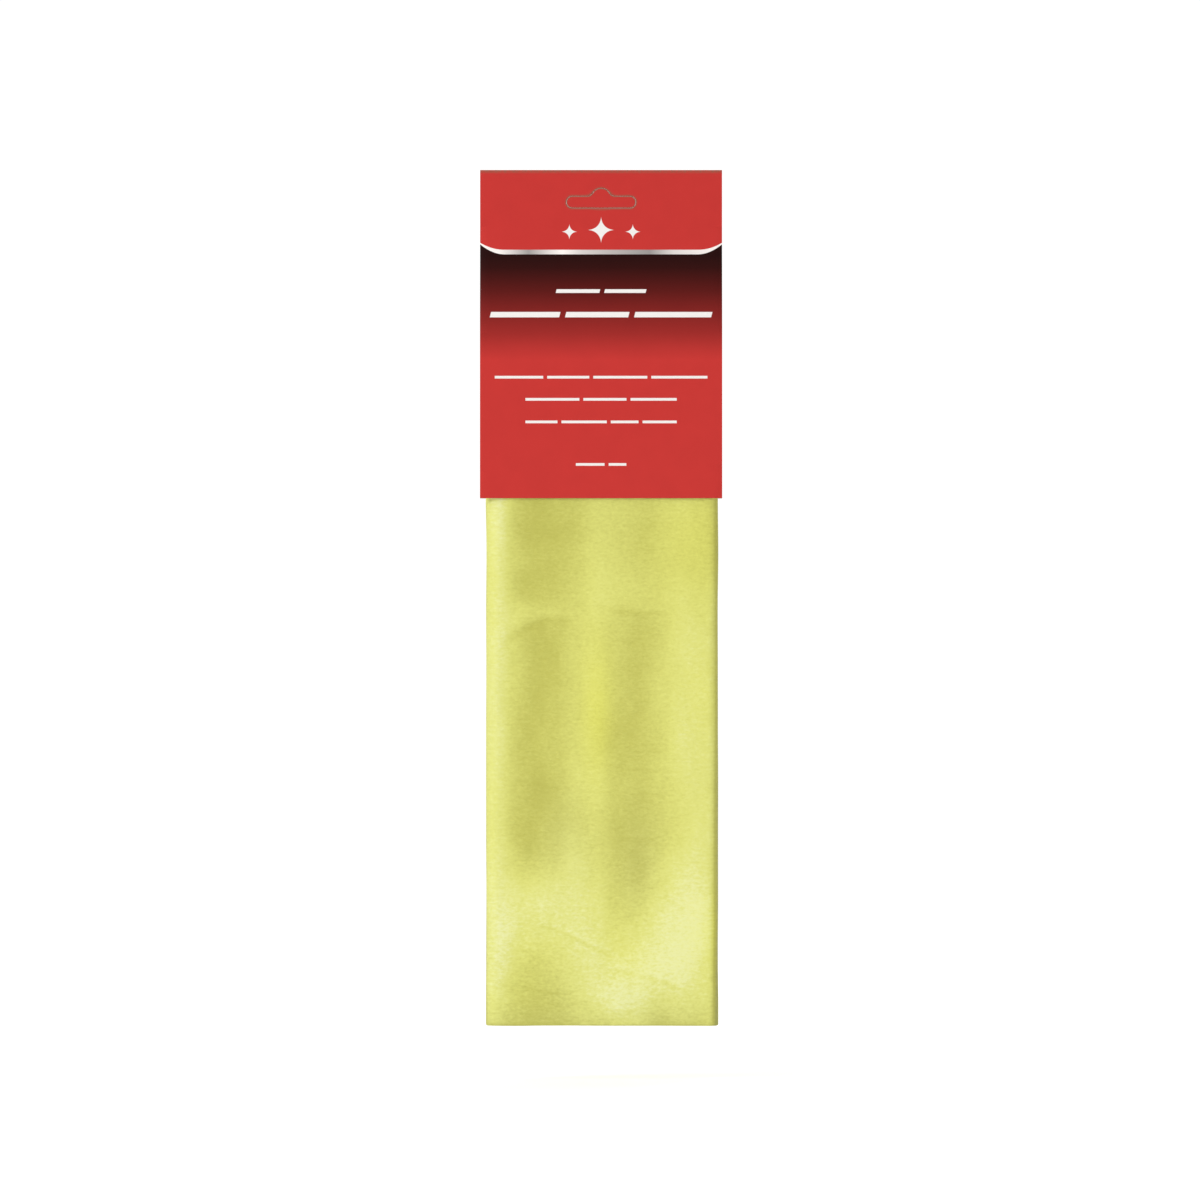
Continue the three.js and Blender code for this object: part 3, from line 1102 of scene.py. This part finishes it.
# Soft folds of the skin's front: forward shares of the fold depth, across and down what shows
ACROSS_STOPS = (0, 0.06, 0.13, 0.21, 0.3, 0.4, 0.48, 0.56, 0.65, 0.74, 0.84, 0.94, 1)
DOWN_STOPS = (0, 0.02, 0.12, 0.185, 0.215, 0.25, 0.35, 0.5, 0.62, 0.7, 0.76, 0.83, 0.9, 0.95, 1)
FRONT_FOLDS = (
    (0, 0, 0, 0, 0, 0, 0, 0, 0, 0, 0, 0, 0),
    (0.1, 0.4, -0.4, -0.75, -0.62, -0.45, -0.15, -0.2, -0.3, -0.3, -0.05, -0.2, -0.2),
    (0.1, 0.55, -0.52, -1.12, -1.0, -0.72, -0.25, -0.25, -0.45, -0.5, -0.12, -0.38, -0.3),
    (0.1, 0.55, -0.4, -0.85, -0.75, -0.4, -0.05, -0.15, -0.3, -0.3, 0.1, 0.05, 0),
    (0.1, 0.5, -0.02, -0.5, -0.57, -0.4, -0.1, -0.35, -0.56, -0.48, 0, 0.08, 0),
    (0.1, 0.5, -0.37, -1.02, -0.9, -0.32, 0.04, -0.52, -0.78, -0.56, -0.03, 0.12, 0),
    (0.05, 0.4, -0.45, -1.02, -0.87, -0.3, 0.04, -0.54, -0.74, -0.34, 0, 0.2, -0.05),
    (0, 0.2, -0.66, -1.07, -0.82, -0.25, -0.06, -0.62, -0.7, -0.37, 0.13, 0.2, -0.12),
    (-0.02, 0.12, -0.64, -1.07, -0.75, -0.25, -0.28, -0.78, -0.78, -0.48, 0, 0.22, -0.08),
    (0.1, 0.44, -0.15, -0.62, -0.36, 0.18, -0.27, -0.8, -0.72, -0.2, 0.4, 0.4, 0),
    (0.1, 0.55, 0.45, 0.35, 0.35, 0.4, 0.1, -0.5, -0.45, 0.25, 0.65, 0.6, 0.1),
    (0.1, 0.6, 0.5, 0.4, 0.35, 0.45, 0.35, 0.05, 0.2, 0.65, 0.7, 0.55, 0.05),
    (0.05, 0.42, -0.26, -0.62, -0.3, 0.28, 0.58, 0.58, 0.58, 0.8, 0.75, 0.25, -0.15),
    (0, 0.08, -0.55, -0.86, -0.72, -0.14, 0.4, 0.74, 0.5, 0.22, 0.13, -0.03, -0.2),
    (-0.5, -0.5, -0.85, -1.05, -0.98, -0.75, -0.5, -0.4, -0.35, -0.82, -0.65, -0.5, -0.55),
)
# Yellower patches (1) and paler patches of painted sheen (-1) on the front: middle across and down,
# reach both ways, strength
YELLOW_AND_SHEEN_PATCHES = (
    (0.48, 0.4, 0.065, 0.13, 0.9),
    (0.93, 0.08, 0.2, 0.12, 0.55),
    (0.95, 0.37, 0.1, 0.07, 0.4),
    (1.0, 0.82, 0.09, 0.08, 0.8),
    (0.02, 0.4, 0.06, 0.15, -0.4),
    (0.02, 0.84, 0.07, 0.17, -0.5),
    (0.34, 0.66, 0.13, 0.11, -0.5),
    (0.66, 0.69, 0.1, 0.11, -0.5),
    (0.78, 0.98, 0.25, 0.05, -0.6),
    (0.36, 0.92, 0.14, 0.06, -0.4),
    (0.62, 0.87, 0.1, 0.05, 0.35),
    (0.3, 1.0, 0.4, 0.04, -0.5),
)
# How the pack swells, as shares of its loft down what shows
LOFT_STOPS = (0, 0.12, 0.45, 0.8, 0.93, 1)
LOFT_SHARES = (0, 0.6, 1, 0.95, 0.75, 0.3)
# Fine unevenness in millimetres: height, bumps' width and length, seed
FRONT_LUMPS = ((0.22, 9, 22, 3), (0.1, 4.5, 6, 4))
FRONT_CRINKLE = ((0.055, 4.2, 1.5, 5),)
BACK_WAVES = ((0.75, 19, 62, 11), (0.24, 8, 18, 12), (0.05, 4.5, 1.6, 13))
# It grows from nothing under the card over this share of what shows
DETAIL_FADE = 0.04
# The crinkle's strength under the card, and how much it gains below a place down what shows
CRINKLE_LEAST = 0.6
CRINKLE_GAIN = 0.8
CRINKLE_PLACE = 0.3

# Creases of the front in millimetres: both ends from the middle and the card, bow, depth and width
CREASES = (
    ((-44, 66), (-14, 56), 3.6, 0.42, 1.9),
    ((0, 50), (29, 52.5), -1.2, 0.34, 1.5),
    ((-27, 195), (3, 209), 1.0, 0.42, 0.9),
    ((3, 216), (39, 225), 1.6, 0.32, 1.1),
    ((10, 156), (24, 156.5), 0.5, 0.22, 0.8),
    ((2, 122), (30, 124), -0.8, 0.18, 0.9),
    ((17, 135), (30, 136), 0.3, 0.2, 0.8),
    ((-46, 92), (-34, 95), 0.5, 0.16, 0.9),
    ((-40, 128), (-24, 131), -0.6, 0.18, 0.9),
    ((24, 176), (44, 171), 0.8, 0.18, 1.0),
    ((-40, 205), (-26, 211), 0.6, 0.2, 0.9),
    ((-38, 222), (-12, 226), -1.0, 0.22, 1.1),
    ((-20, 232), (6, 229), 0.6, 0.18, 0.9),
)
# A crease wanders a little, fades out at its ends, and has a low lip of nap along its upper side
CREASE_WANDER = ((0.5, 5, 5, 31),)
CREASE_FADE = 0.1
LIP_HEIGHT = 0.45
LIP_PLACE = 1.9
LIP_WIDTH = 1.6
# The back reads the same creases mirrored: places across and down times these factors, less a shift
BACK_ACROSS = -0.9
BACK_DOWN = 1.1
BACK_SHIFT = 26


def crease_height(across, down):
    """Height in millimetres that the creases add to the skin at points in millimetres."""
    height = np.zeros_like(across)
    for (x0, z0), (x1, z1), bow, depth, width in CREASES:
        length = math.hypot(x1 - x0, z1 - z0)
        along_x, along_z = (x1 - x0) / length, (z1 - z0) / length
        along = ((across - x0) * along_x + (down - z0) * along_z) / length
        off = (down - z0) * along_x - (across - x0) * along_z
        held = np.clip(along, 0, 1)
        off = off + bow * 4 * held * (1 - held) + uneven(CREASE_WANDER, across, down)
        from_end = np.minimum(along, 1 - along) + CREASE_FADE
        fade = eased(np.clip(from_end / (2 * CREASE_FADE), 0, 1))
        groove = -np.exp(-((off / width) ** 2))
        lip = LIP_HEIGHT * np.exp(-(((off + LIP_PLACE * width) / (LIP_WIDTH * width)) ** 2))
        height += depth * fade * (groove + lip)
    return height


def front_height(across, down, settings):
    """How far the front stands forward of its evenly rolled place, in metres."""
    share_across = across / PACK_WIDTH + 0.5
    share_down = down / SKIN_SHOWN
    rows = [curve_through(ACROSS_STOPS, row, share_across) for row in FRONT_FOLDS]
    folds = curve_through(DOWN_STOPS, np.array(rows), share_down) * settings.fold_depth
    places = (across / MM, down / MM)
    strength = CRINKLE_LEAST + CRINKLE_GAIN * np.clip(share_down - CRINKLE_PLACE, 0, 1)
    detail = uneven(FRONT_LUMPS, *places) + uneven(FRONT_CRINKLE, *places) * strength
    detail += crease_height(*places)
    return folds + detail * np.clip(share_down / DETAIL_FADE, 0, 1) * MM


def back_height(across, down):
    """How far the back stands behind its evenly rolled place, in metres."""
    places = (across / MM, down / MM)
    detail = uneven(BACK_WAVES, *places)
    detail += crease_height(BACK_ACROSS * places[0], BACK_DOWN * places[1] - BACK_SHIFT)
    return detail * np.clip(down / SKIN_SHOWN / DETAIL_FADE, 0, 1) * MM


# Stations along each panel of the roll, from the inner one outwards, and round each turn
PANEL_STATIONS = (12, 12, 12, 112, 50)
TURN_STATIONS = (6, 8, 14, 14)
# Rows of points down the outer ply, how many of them the card covers, and down the inner ply
OUTER_ROWS = 262
COVERED_ROWS = 13
INNER_ROWS = 26
FOLD_ROWS = 10
# The rows that show start this far above the card's foot
ROWS_ABOVE_FOOT = 4 * MM
# How much higher than the front each panel's foot lies, in millimetres at places along the roll
RISE_PLACES = (0, 1, 2, 2.6, 3.4, 4)
PANEL_RISES = (2.1, 1.5, 0.9, 0, 0, 0.6)
# The rise fades out up the pack by this power, and ripples: height, bumps' width and length, seed
RISE_POWER = 6
FOOT_RIPPLE = (0.1, 13, 1, 22)
# A pressed fold's roundness: 1 is a half circle and 0 a square end
FOLD_ROUNDNESS = 0.62


def roll_line(settings):
    """Centre line of the roll seen from above: x, y, heading and panel number at each station."""
    pair_half = settings.thickness + settings.air / 2
    pitch = 2 * pair_half + settings.air
    last = settings.panels - 1
    left = last * pitch / 2 + pair_half - PACK_WIDTH / 2
    right = PACK_WIDTH / 2 - (last - 1) * pitch / 2 - pair_half
    turned = sum(math.pi * turn * pitch / 2 for turn in range(1, settings.panels))
    outer_edge = right - pair_half
    inner_run = settings.cut_width - turned - (outer_edge - left) - (last - 1) * (right - left)
    rows = []
    for panel in range(settings.panels):
        heading = 1 if (last - panel) % 2 == 0 else -1
        near, far = (left, right) if heading > 0 else (right, left)
        end = outer_edge if panel == last else far
        begin = far - heading * inner_run if panel == 0 else near
        depth = heading * math.ceil(panel / 2) * pitch
        for share in np.linspace(0, 1, PANEL_STATIONS[panel]):
            rows.append((begin + share * (end - begin), depth, heading, 0.0, panel))
        if panel == last:
            break
        radius = (panel + 1) * pitch / 2
        for i in range(1, TURN_STATIONS[panel]):
            angle = math.pi * i / TURN_STATIONS[panel]
            x = end + heading * radius * math.sin(angle)
            y = depth - heading * radius * (1 - math.cos(angle))
            turn = panel + i / TURN_STATIONS[panel]
            rows.append((x, y, heading * math.cos(angle), -heading * math.sin(angle), turn))
    return np.array(rows)


def squared(value):
    """A sine or cosine drawn out towards a square corner, as a pressed fold has."""
    return math.copysign(abs(value) ** FOLD_ROUNDNESS, value)


def folded_profile(settings):
    """The two plies and the fold at their foot: offset, height, side, and length along the skin."""
    middle = (settings.thickness + settings.air) / 2
    centre = SKIN_BOTTOM + settings.thickness + settings.air / 2
    shown_top = CARD_BOTTOM + ROWS_ABOVE_FOOT
    fine = np.concatenate([
        np.linspace(SKIN_TOP, shown_top, COVERED_ROWS + 1)[:-1],
        np.linspace(shown_top, centre, OUTER_ROWS - COVERED_ROWS),
    ])
    coarse = np.linspace(SKIN_TOP, centre, INNER_ROWS)
    arc = [math.pi * i / FOLD_ROWS for i in range(1, FOLD_ROWS)]
    half = settings.thickness / 2
    far_ply = SKIN_TOP - centre + math.pi * middle

    def line(near, far, side):
        """Down the inner ply, round the fold and up the outer ply, on one side of the leather."""
        radius = middle + side * half
        points = [(-radius, z, side, far_ply + z - centre) for z in near]
        for a in arc:
            offset = -radius * squared(math.cos(a))
            height = centre - radius * squared(math.sin(a))
            points.append((offset, height, side, far_ply - a * middle))
        return points + [(radius, z, side, SKIN_TOP - z) for z in far[::-1]]

    return np.array(line(coarse, fine, 1) + line(coarse, coarse, -1)[::-1])


def settle(x, y, z, settings):
    """Moves points of the evenly rolled pack to where the swollen, folded pack has them."""
    stack_half = ((settings.panels - 1) * (2 * settings.thickness + 2 * settings.air)) / 2
    stack_half += settings.thickness + settings.air / 2
    down = CARD_BOTTOM - z
    loft = settings.loft * curve_through(LOFT_STOPS, LOFT_SHARES, down / SKIN_SHOWN)
    front = -stack_half - loft - front_height(x, down, settings)
    back = stack_half + loft + back_height(x, down)
    share = (y + stack_half) / (2 * stack_half)
    return front + share * (back - front)


# The skin's cut edges thin over this many thicknesses, to a share whose square is the second value
EDGE_ROUNDING = 0.6
EDGE_LEAST = 0.06
# The pack's long edges wander: millimetres, width and length of the waves, seed
EDGE_WANDER = (0.22, 1, 26, 21)
# Places in the noise that the left and the right edge read, so that they wander apart
LEFT_COLUMN = 0.5
RIGHT_COLUMN = 50.5


def chamois_mesh(settings):
    """The folded and rolled skin: its grid's shape, its points and their places on the flat skin."""
    line = roll_line(settings)
    profile = folded_profile(settings)
    steps = np.hypot(np.diff(line[:, 0]), np.diff(line[:, 1]))
    along = np.concatenate([[0], np.cumsum(steps)])
    rounded = EDGE_ROUNDING * settings.thickness
    from_end = np.minimum(along, along[-1] - along)
    lip = np.sqrt(np.clip(1 - (1 - np.clip(from_end / rounded, 0, 1)) ** 2, EDGE_LEAST, 1))
    centre = SKIN_BOTTOM + settings.thickness + settings.air / 2
    offset, height, side, length = profile.T
    thin = side[None, :] * (lip[:, None] - 1) * settings.thickness / 2
    straight = height >= centre
    sign = np.sign(offset)
    reach = np.hypot(offset, np.minimum(height - centre, 0))
    unit_off = np.where(straight, sign, offset / reach)
    unit_z = np.where(straight, 0, (height - centre) / reach)
    off = offset[None, :] + thin * unit_off[None, :]
    z = height[None, :] + thin * unit_z[None, :]
    x = line[:, 0:1] - line[:, 3:4] * off
    y = line[:, 1:2] + line[:, 2:3] * off
    shape = x.shape
    x, y, z = x.ravel(), y.ravel(), z.ravel()
    y = settle(x, y, z, settings)
    x += edge_wander(x, z)
    z += foot_rise(np.repeat(line[:, 4], shape[1]), x, z)
    flat = np.stack([np.repeat(along, shape[1]), np.tile(length, shape[0])], axis=-1)
    return shape, np.stack([x + SKIN_MIDDLE, y, z], axis=-1), flat


def edge_wander(x, z):
    """Sideways wander of the pack's two long edges, which fades out halfway to its middle."""
    column = np.where(x > 0, RIGHT_COLUMN, LEFT_COLUMN)
    wander = uneven((EDGE_WANDER,), column, (SKIN_TOP - z) / MM)
    return wander * MM * np.clip(np.abs(x) / PACK_WIDTH * 4 - 1, 0, 1)


def foot_rise(panel, x, z):
    """How much higher each panel's foot lies than the front's, fading out up the pack."""
    share = np.clip((SKIN_TOP - z) / (SKIN_TOP - SKIN_BOTTOM), 0, 1)
    panel_rise = np.interp(panel, RISE_PLACES, PANEL_RISES)
    ripple = uneven((FOOT_RIPPLE,), x / MM, panel) + FOOT_RIPPLE[0]
    return (panel_rise + ripple) * MM * share**RISE_POWER


def build_chamois(settings, material):
    """Makes the skin's object from its stations and rows."""
    shape, points, flat = chamois_mesh(settings)
    stations, rows = shape
    index = np.arange(stations * rows).reshape(shape)
    after = np.roll(index, -1, axis=1)
    sides = np.stack([index[:-1], after[:-1], after[1:], index[1:]], axis=-1).reshape(-1, 4)
    faces = sides.tolist()
    faces.append(index[0][::-1].tolist())
    faces.append(index[-1].tolist())
    mesh = bpy.data.meshes.new("chamois_skin")
    mesh.from_pydata(points.tolist(), [], faces)
    mesh.validate()
    piece = bpy.data.objects.new("chamois_skin", mesh)
    bpy.context.scene.collection.objects.link(piece)
    add_skin_map(mesh, flat)
    add_painted_shading(mesh, points, settings)
    add_yellow_and_sheen(mesh, points)
    mesh.materials.append(material)
    for polygon in mesh.polygons:
        polygon.use_smooth = True
    return piece


def add_skin_map(mesh, flat):
    """UV map Skin: metres across and along the skin as it lay flat."""
    corner = np.zeros(len(mesh.loops), np.int32)
    mesh.loops.foreach_get("vertex_index", corner)
    layer = mesh.uv_layers.new(name="Skin")
    layer.data.foreach_set("uv", flat[corner].astype(np.float32).ravel())


# Painted shading of level nap, and how much the folds move it, up to these shares of the fold depth:
# painted shade in valleys and grooves, painted light on ridges and lips
LEVEL_SHADING = 0.55
FOLD_SHADING = 0.46
FOLD_SHADING_RANGE = (-1.4, 1.2)
# Near the card the painted shading is read this far below its foot, because the folds start from nothing
CARD_SHADE = 9 * MM
# Painted shade along the edges and the foot, where they turn away from the light: reach inwards, and by
# how much the painted shading falls
LEFT_REACH = 0.6 * MM
LEFT_SHADE = 0.2
RIGHT_REACH = 1.4 * MM
RIGHT_SHADE = 0.75
FOOT_REACH = 0.6 * MM
FOOT_SHADE = 0.45
# Further down both edges are shaded darker, the left one from a place down what shows, and the
# right one is shaded wider, from another
SHADE_GAIN = 0.9
LEFT_GAIN_PLACE = 0.55
RIGHT_WIDER = 1.1 * MM
RIGHT_WIDER_PLACE = 0.4
MOST_SHADE = 1.6


def add_painted_shading(mesh, points, settings):
    """Attribute Tone: painted shade in the folds and along the edges and foot, painted light on the
    ridges.
    """
    across = points[:, 0] - SKIN_MIDDLE
    down = np.maximum(CARD_BOTTOM - points[:, 2], CARD_SHADE)
    front = front_height(across, down, settings) / settings.fold_depth
    back = back_height(across, down) / settings.fold_depth
    raised = np.where(points[:, 1] < 0, front, back)
    lower = np.clip(down / SKIN_SHOWN, 0, 1)
    to_left = (across + PACK_WIDTH / 2) / LEFT_REACH
    reach = RIGHT_REACH + RIGHT_WIDER * np.clip(lower - RIGHT_WIDER_PLACE, 0, 1)
    to_right = (PACK_WIDTH / 2 - across) / reach
    to_foot = (points[:, 2] - SKIN_BOTTOM) / FOOT_REACH
    left_shade = LEFT_SHADE + SHADE_GAIN * np.clip(lower - LEFT_GAIN_PLACE, 0, 1)
    right_shade = RIGHT_SHADE + SHADE_GAIN * lower
    # Painted shade along the edges and the foot
    places = ((to_left, left_shade), (to_right, right_shade), (to_foot, FOOT_SHADE))
    edge_shade = sum(press * np.exp(-(np.maximum(place, 0) ** 2)) for place, press in places)
    painted_shading = LEVEL_SHADING + FOLD_SHADING * np.clip(raised, *FOLD_SHADING_RANGE) - np.clip(edge_shade, 0, MOST_SHADE)
    attribute = mesh.attributes.new("Tone", "FLOAT", "POINT")
    attribute.data.foreach_set("value", painted_shading.astype(np.float32))


def add_yellow_and_sheen(mesh, points):
    """Attribute Oil: where the leather is yellower, and where painted sheen makes it paler."""
    across = (points[:, 0] - SKIN_MIDDLE) / PACK_WIDTH + 0.5
    down = (CARD_BOTTOM - points[:, 2]) / SKIN_SHOWN
    yellow_and_sheen = np.zeros(len(points))
    for middle, height, wide, tall, strength in YELLOW_AND_SHEEN_PATCHES:
        off = ((across - middle) / wide) ** 2 + ((down - height) / tall) ** 2
        yellow_and_sheen += strength * np.exp(-off)
    attribute = mesh.attributes.new("Oil", "FLOAT", "POINT")
    attribute.data.foreach_set("value", np.clip(yellow_and_sheen, -1, 1).astype(np.float32))


class PACK_OT_header_card(bpy.types.Operator):
    """Models the two layers of the creased header card."""

    bl_idname = "pack.header_card"
    bl_label = "Header card"

    def execute(self, context):
        settings = context.scene.pack_card
        fibre_board("bare_board", settings.board)
        # The crushed rim's board is darkened with painted shade of the die cut
        fibre_board("crushed_rim", settings.shaded_rim)
        halves = (
            ("card_front", "printed_front", -1, "front_end"),
            ("card_back", "printed_back", 1, "back_end"),
        )
        for name, print_name, side, body in halves:
            printed = printed_board(print_name, settings, side < 0)
            piece = card_half(name, side, settings, printed)
            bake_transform(piece)
            if side < 0:
                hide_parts("card_saddle", "front_flap")
            else:
                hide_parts("back_flap")
        return {"FINISHED"}


class PACK_OT_slot_pieces(bpy.types.Operator):
    """Models the die-cut pieces that still fill the hang slot."""

    bl_idname = "pack.slot_pieces"
    bl_label = "Slot pieces"

    def execute(self, context):
        settings = context.scene.pack_card
        layers = (
            ("front_slot_piece", "printed_front", -1),
            ("back_slot_piece", "printed_back", 1),
        )
        for name, print_name, side in layers:
            piece = slot_piece(name, settings, (CUT + settings.cut_gap) / 2, side)
            crush_rim(piece, side, settings)
            dress_card(piece, side, bpy.data.materials[print_name])
            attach(piece, "slot_pieces")
            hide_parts("front_knockout" if side < 0 else "back_knockout")
        return {"FINISHED"}


class PACK_OT_chamois(bpy.types.Operator):
    """Lays out the folded and rolled chamois skin."""

    bl_idname = "pack.chamois"
    bl_label = "Chamois skin"

    def execute(self, context):
        settings = context.scene.pack_skin
        piece = build_chamois(settings, chamois_nap(settings))
        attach(piece, "pack")
        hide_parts("chamois")
        return {"FINISHED"}


class PACK_OT_tape(bpy.types.Operator):
    """Gives the tape strips their finish."""

    bl_idname = "pack.tape"
    bl_label = "Tape strips"

    def execute(self, context):
        film = tape_film()
        for name in ("front_tape", "back_tape", "tab_tape"):
            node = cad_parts[name]
            node.data.materials.clear()
            node.data.materials.append(film)
        return {"FINISHED"}


# Soft lights: place, size and power in watts. The key light's power is a setting
KEY_PLACE = (-1.5, -1.35, 0.75)
KEY_SIZE = 1.0
SIDE_LIGHTS = (
    ("fill_light", (1.5, -1.7, 0.3), 1.4, 3.6),
    ("back_light", (0.6, 1.8, 0.7), 1.4, 14),
    ("top_light", (0, 0, 2.4), 3.2, 52),
)


class PACK_OT_stage(bpy.types.Operator):
    """Sets the floor, the soft light and the camera."""

    bl_idname = "pack.stage"
    bl_label = "Stage"

    def execute(self, context):
        settings = context.scene.pack_stage
        add_floor()
        add_sky(context.scene)
        middle = (CARD_TOP + SKIN_BOTTOM) / 2
        aim = Vector((0, 0, middle))
        add_light("key_light", KEY_PLACE, KEY_SIZE, settings.key_power, aim)
        for light in SIDE_LIGHTS:
            add_light(*light, aim)
        add_camera(context.scene, settings, middle)
        context.scene.view_settings.view_transform = "Standard"
        return {"FINISHED"}


FLOOR_RADIUS = 1.5
FLOOR_SIDES = 128
FLOOR_BELOW_FOOT = 25 * MM
FLOOR_DARK = (0.93, 0.93, 0.93, 1)
FLOOR_PALE = (0.95, 0.95, 0.95, 1)
FLOOR_CLOUDS = (3, 3)
FLOOR_GLOW = 0.1
FLOOR_ROUGHNESS = 0.9
WHITE = (1, 1, 1, 1)
# How bright the white world is to the pieces, and to the eye
WORLD_LIGHT = 0.395
WORLD_SEEN = 1.05


def add_floor():
    """A pale round floor a little below the pack's foot."""
    bpy.ops.object.select_all(action="DESELECT")
    bpy.ops.mesh.primitive_circle_add(
        vertices=FLOOR_SIDES,
        radius=FLOOR_RADIUS,
        fill_type="NGON",
        location=(0, 0, SKIN_BOTTOM - FLOOR_BELOW_FOOT),
    )
    floor = bpy.context.active_object
    floor.name = "floor"
    material, start = new_material("floor_paper")
    place = object_place(start)
    tint = place.noise(*FLOOR_CLOUDS).mixed(FLOOR_DARK, FLOOR_PALE)
    constants = {
        "Roughness": FLOOR_ROUGHNESS,
        "Emission Color": WHITE,
        "Emission Strength": FLOOR_GLOW,
    }
    finish_material(material, start, {"Base Color": tint}, **constants)
    floor.data.materials.append(material)


def add_sky(scene):
    """A world that is white to the eye and a softer light on the pieces."""
    world = bpy.data.worlds.new("studio")
    scene.world = world
    world.use_nodes = True
    world.node_tree.nodes.clear()
    start = Link(world.node_tree)
    seen = start.node("ShaderNodeLightPath", {})
    light = start.node("ShaderNodeBackground", {}, {"Color": WHITE, "Strength": WORLD_LIGHT})
    white = start.node("ShaderNodeBackground", {}, {"Color": WHITE, "Strength": WORLD_SEEN})
    sky = start.node("ShaderNodeMixShader", {}, {0: seen, 1: light, 2: white})
    start.node("ShaderNodeOutputWorld", {}, {"Surface": sky})


def add_light(name, place, size, power, aim):
    """A square soft light that points at the pack."""
    bpy.ops.object.select_all(action="DESELECT")
    bpy.ops.object.light_add(type="AREA", location=place)
    light = bpy.context.active_object
    light.name = name
    light.rotation_euler = (aim - Vector(place)).to_track_quat("-Z", "Y").to_euler()
    light.data.size = size
    light.data.energy = power


# Width of the sensor in millimetres
SENSOR = 36
# The camera stands this much to the left of the pack's middle, and this much below it
CAMERA_ASIDE = 0.5 * MM
CAMERA_BELOW = 1.0 * MM
CLIP_END = 100


def add_camera(scene, settings, middle):
    """Looks straight at the card's face, with the view's width there."""
    bpy.ops.object.select_all(action="DESELECT")
    distance = settings.view_width * settings.lens / SENSOR
    bpy.ops.object.camera_add(
        location=(-CAMERA_ASIDE, -CARD_FACE - distance, middle - CAMERA_BELOW),
        rotation=(math.pi / 2, 0, 0),
    )
    camera = bpy.context.active_object
    camera.data.lens = settings.lens
    camera.data.clip_end = CLIP_END
    scene.camera = camera


OPERATORS = (
    PACK_OT_header_card, PACK_OT_slot_pieces, PACK_OT_chamois, PACK_OT_tape, PACK_OT_stage,
)


class PACK_PT_sidebar(bpy.types.Panel):
    """Lists the pieces that can be built."""

    bl_label = "Packed chamois"
    bl_idname = "PACK_PT_sidebar"
    bl_space_type = "VIEW_3D"
    bl_region_type = "UI"
    bl_category = "Chamois"

    def draw(self, context):
        for operator in OPERATORS:
            self.layout.operator(operator.bl_idname)
        for group in (context.scene.pack_card, context.scene.pack_skin, context.scene.pack_stage):
            for name in group.bl_rna.properties.keys():
                if name not in ("rna_type", "name"):
                    self.layout.prop(group, name)


CLASSES = (CardSettings, SkinSettings, StageSettings, *OPERATORS, PACK_PT_sidebar)


def register():
    for item in CLASSES:
        bpy.utils.register_class(item)
    bpy.types.Scene.pack_card = bpy.props.PointerProperty(type=CardSettings)
    bpy.types.Scene.pack_skin = bpy.props.PointerProperty(type=SkinSettings)
    bpy.types.Scene.pack_stage = bpy.props.PointerProperty(type=StageSettings)


def unregister():
    del bpy.types.Scene.pack_stage
    del bpy.types.Scene.pack_skin
    del bpy.types.Scene.pack_card
    for item in reversed(CLASSES):
        bpy.utils.unregister_class(item)


def main():
    register()
    bpy.ops.pack.header_card()
    bpy.ops.pack.slot_pieces()
    bpy.ops.pack.chamois()
    bpy.ops.pack.tape()
    bpy.ops.pack.stage()


if __name__ == "__main__":
    main()
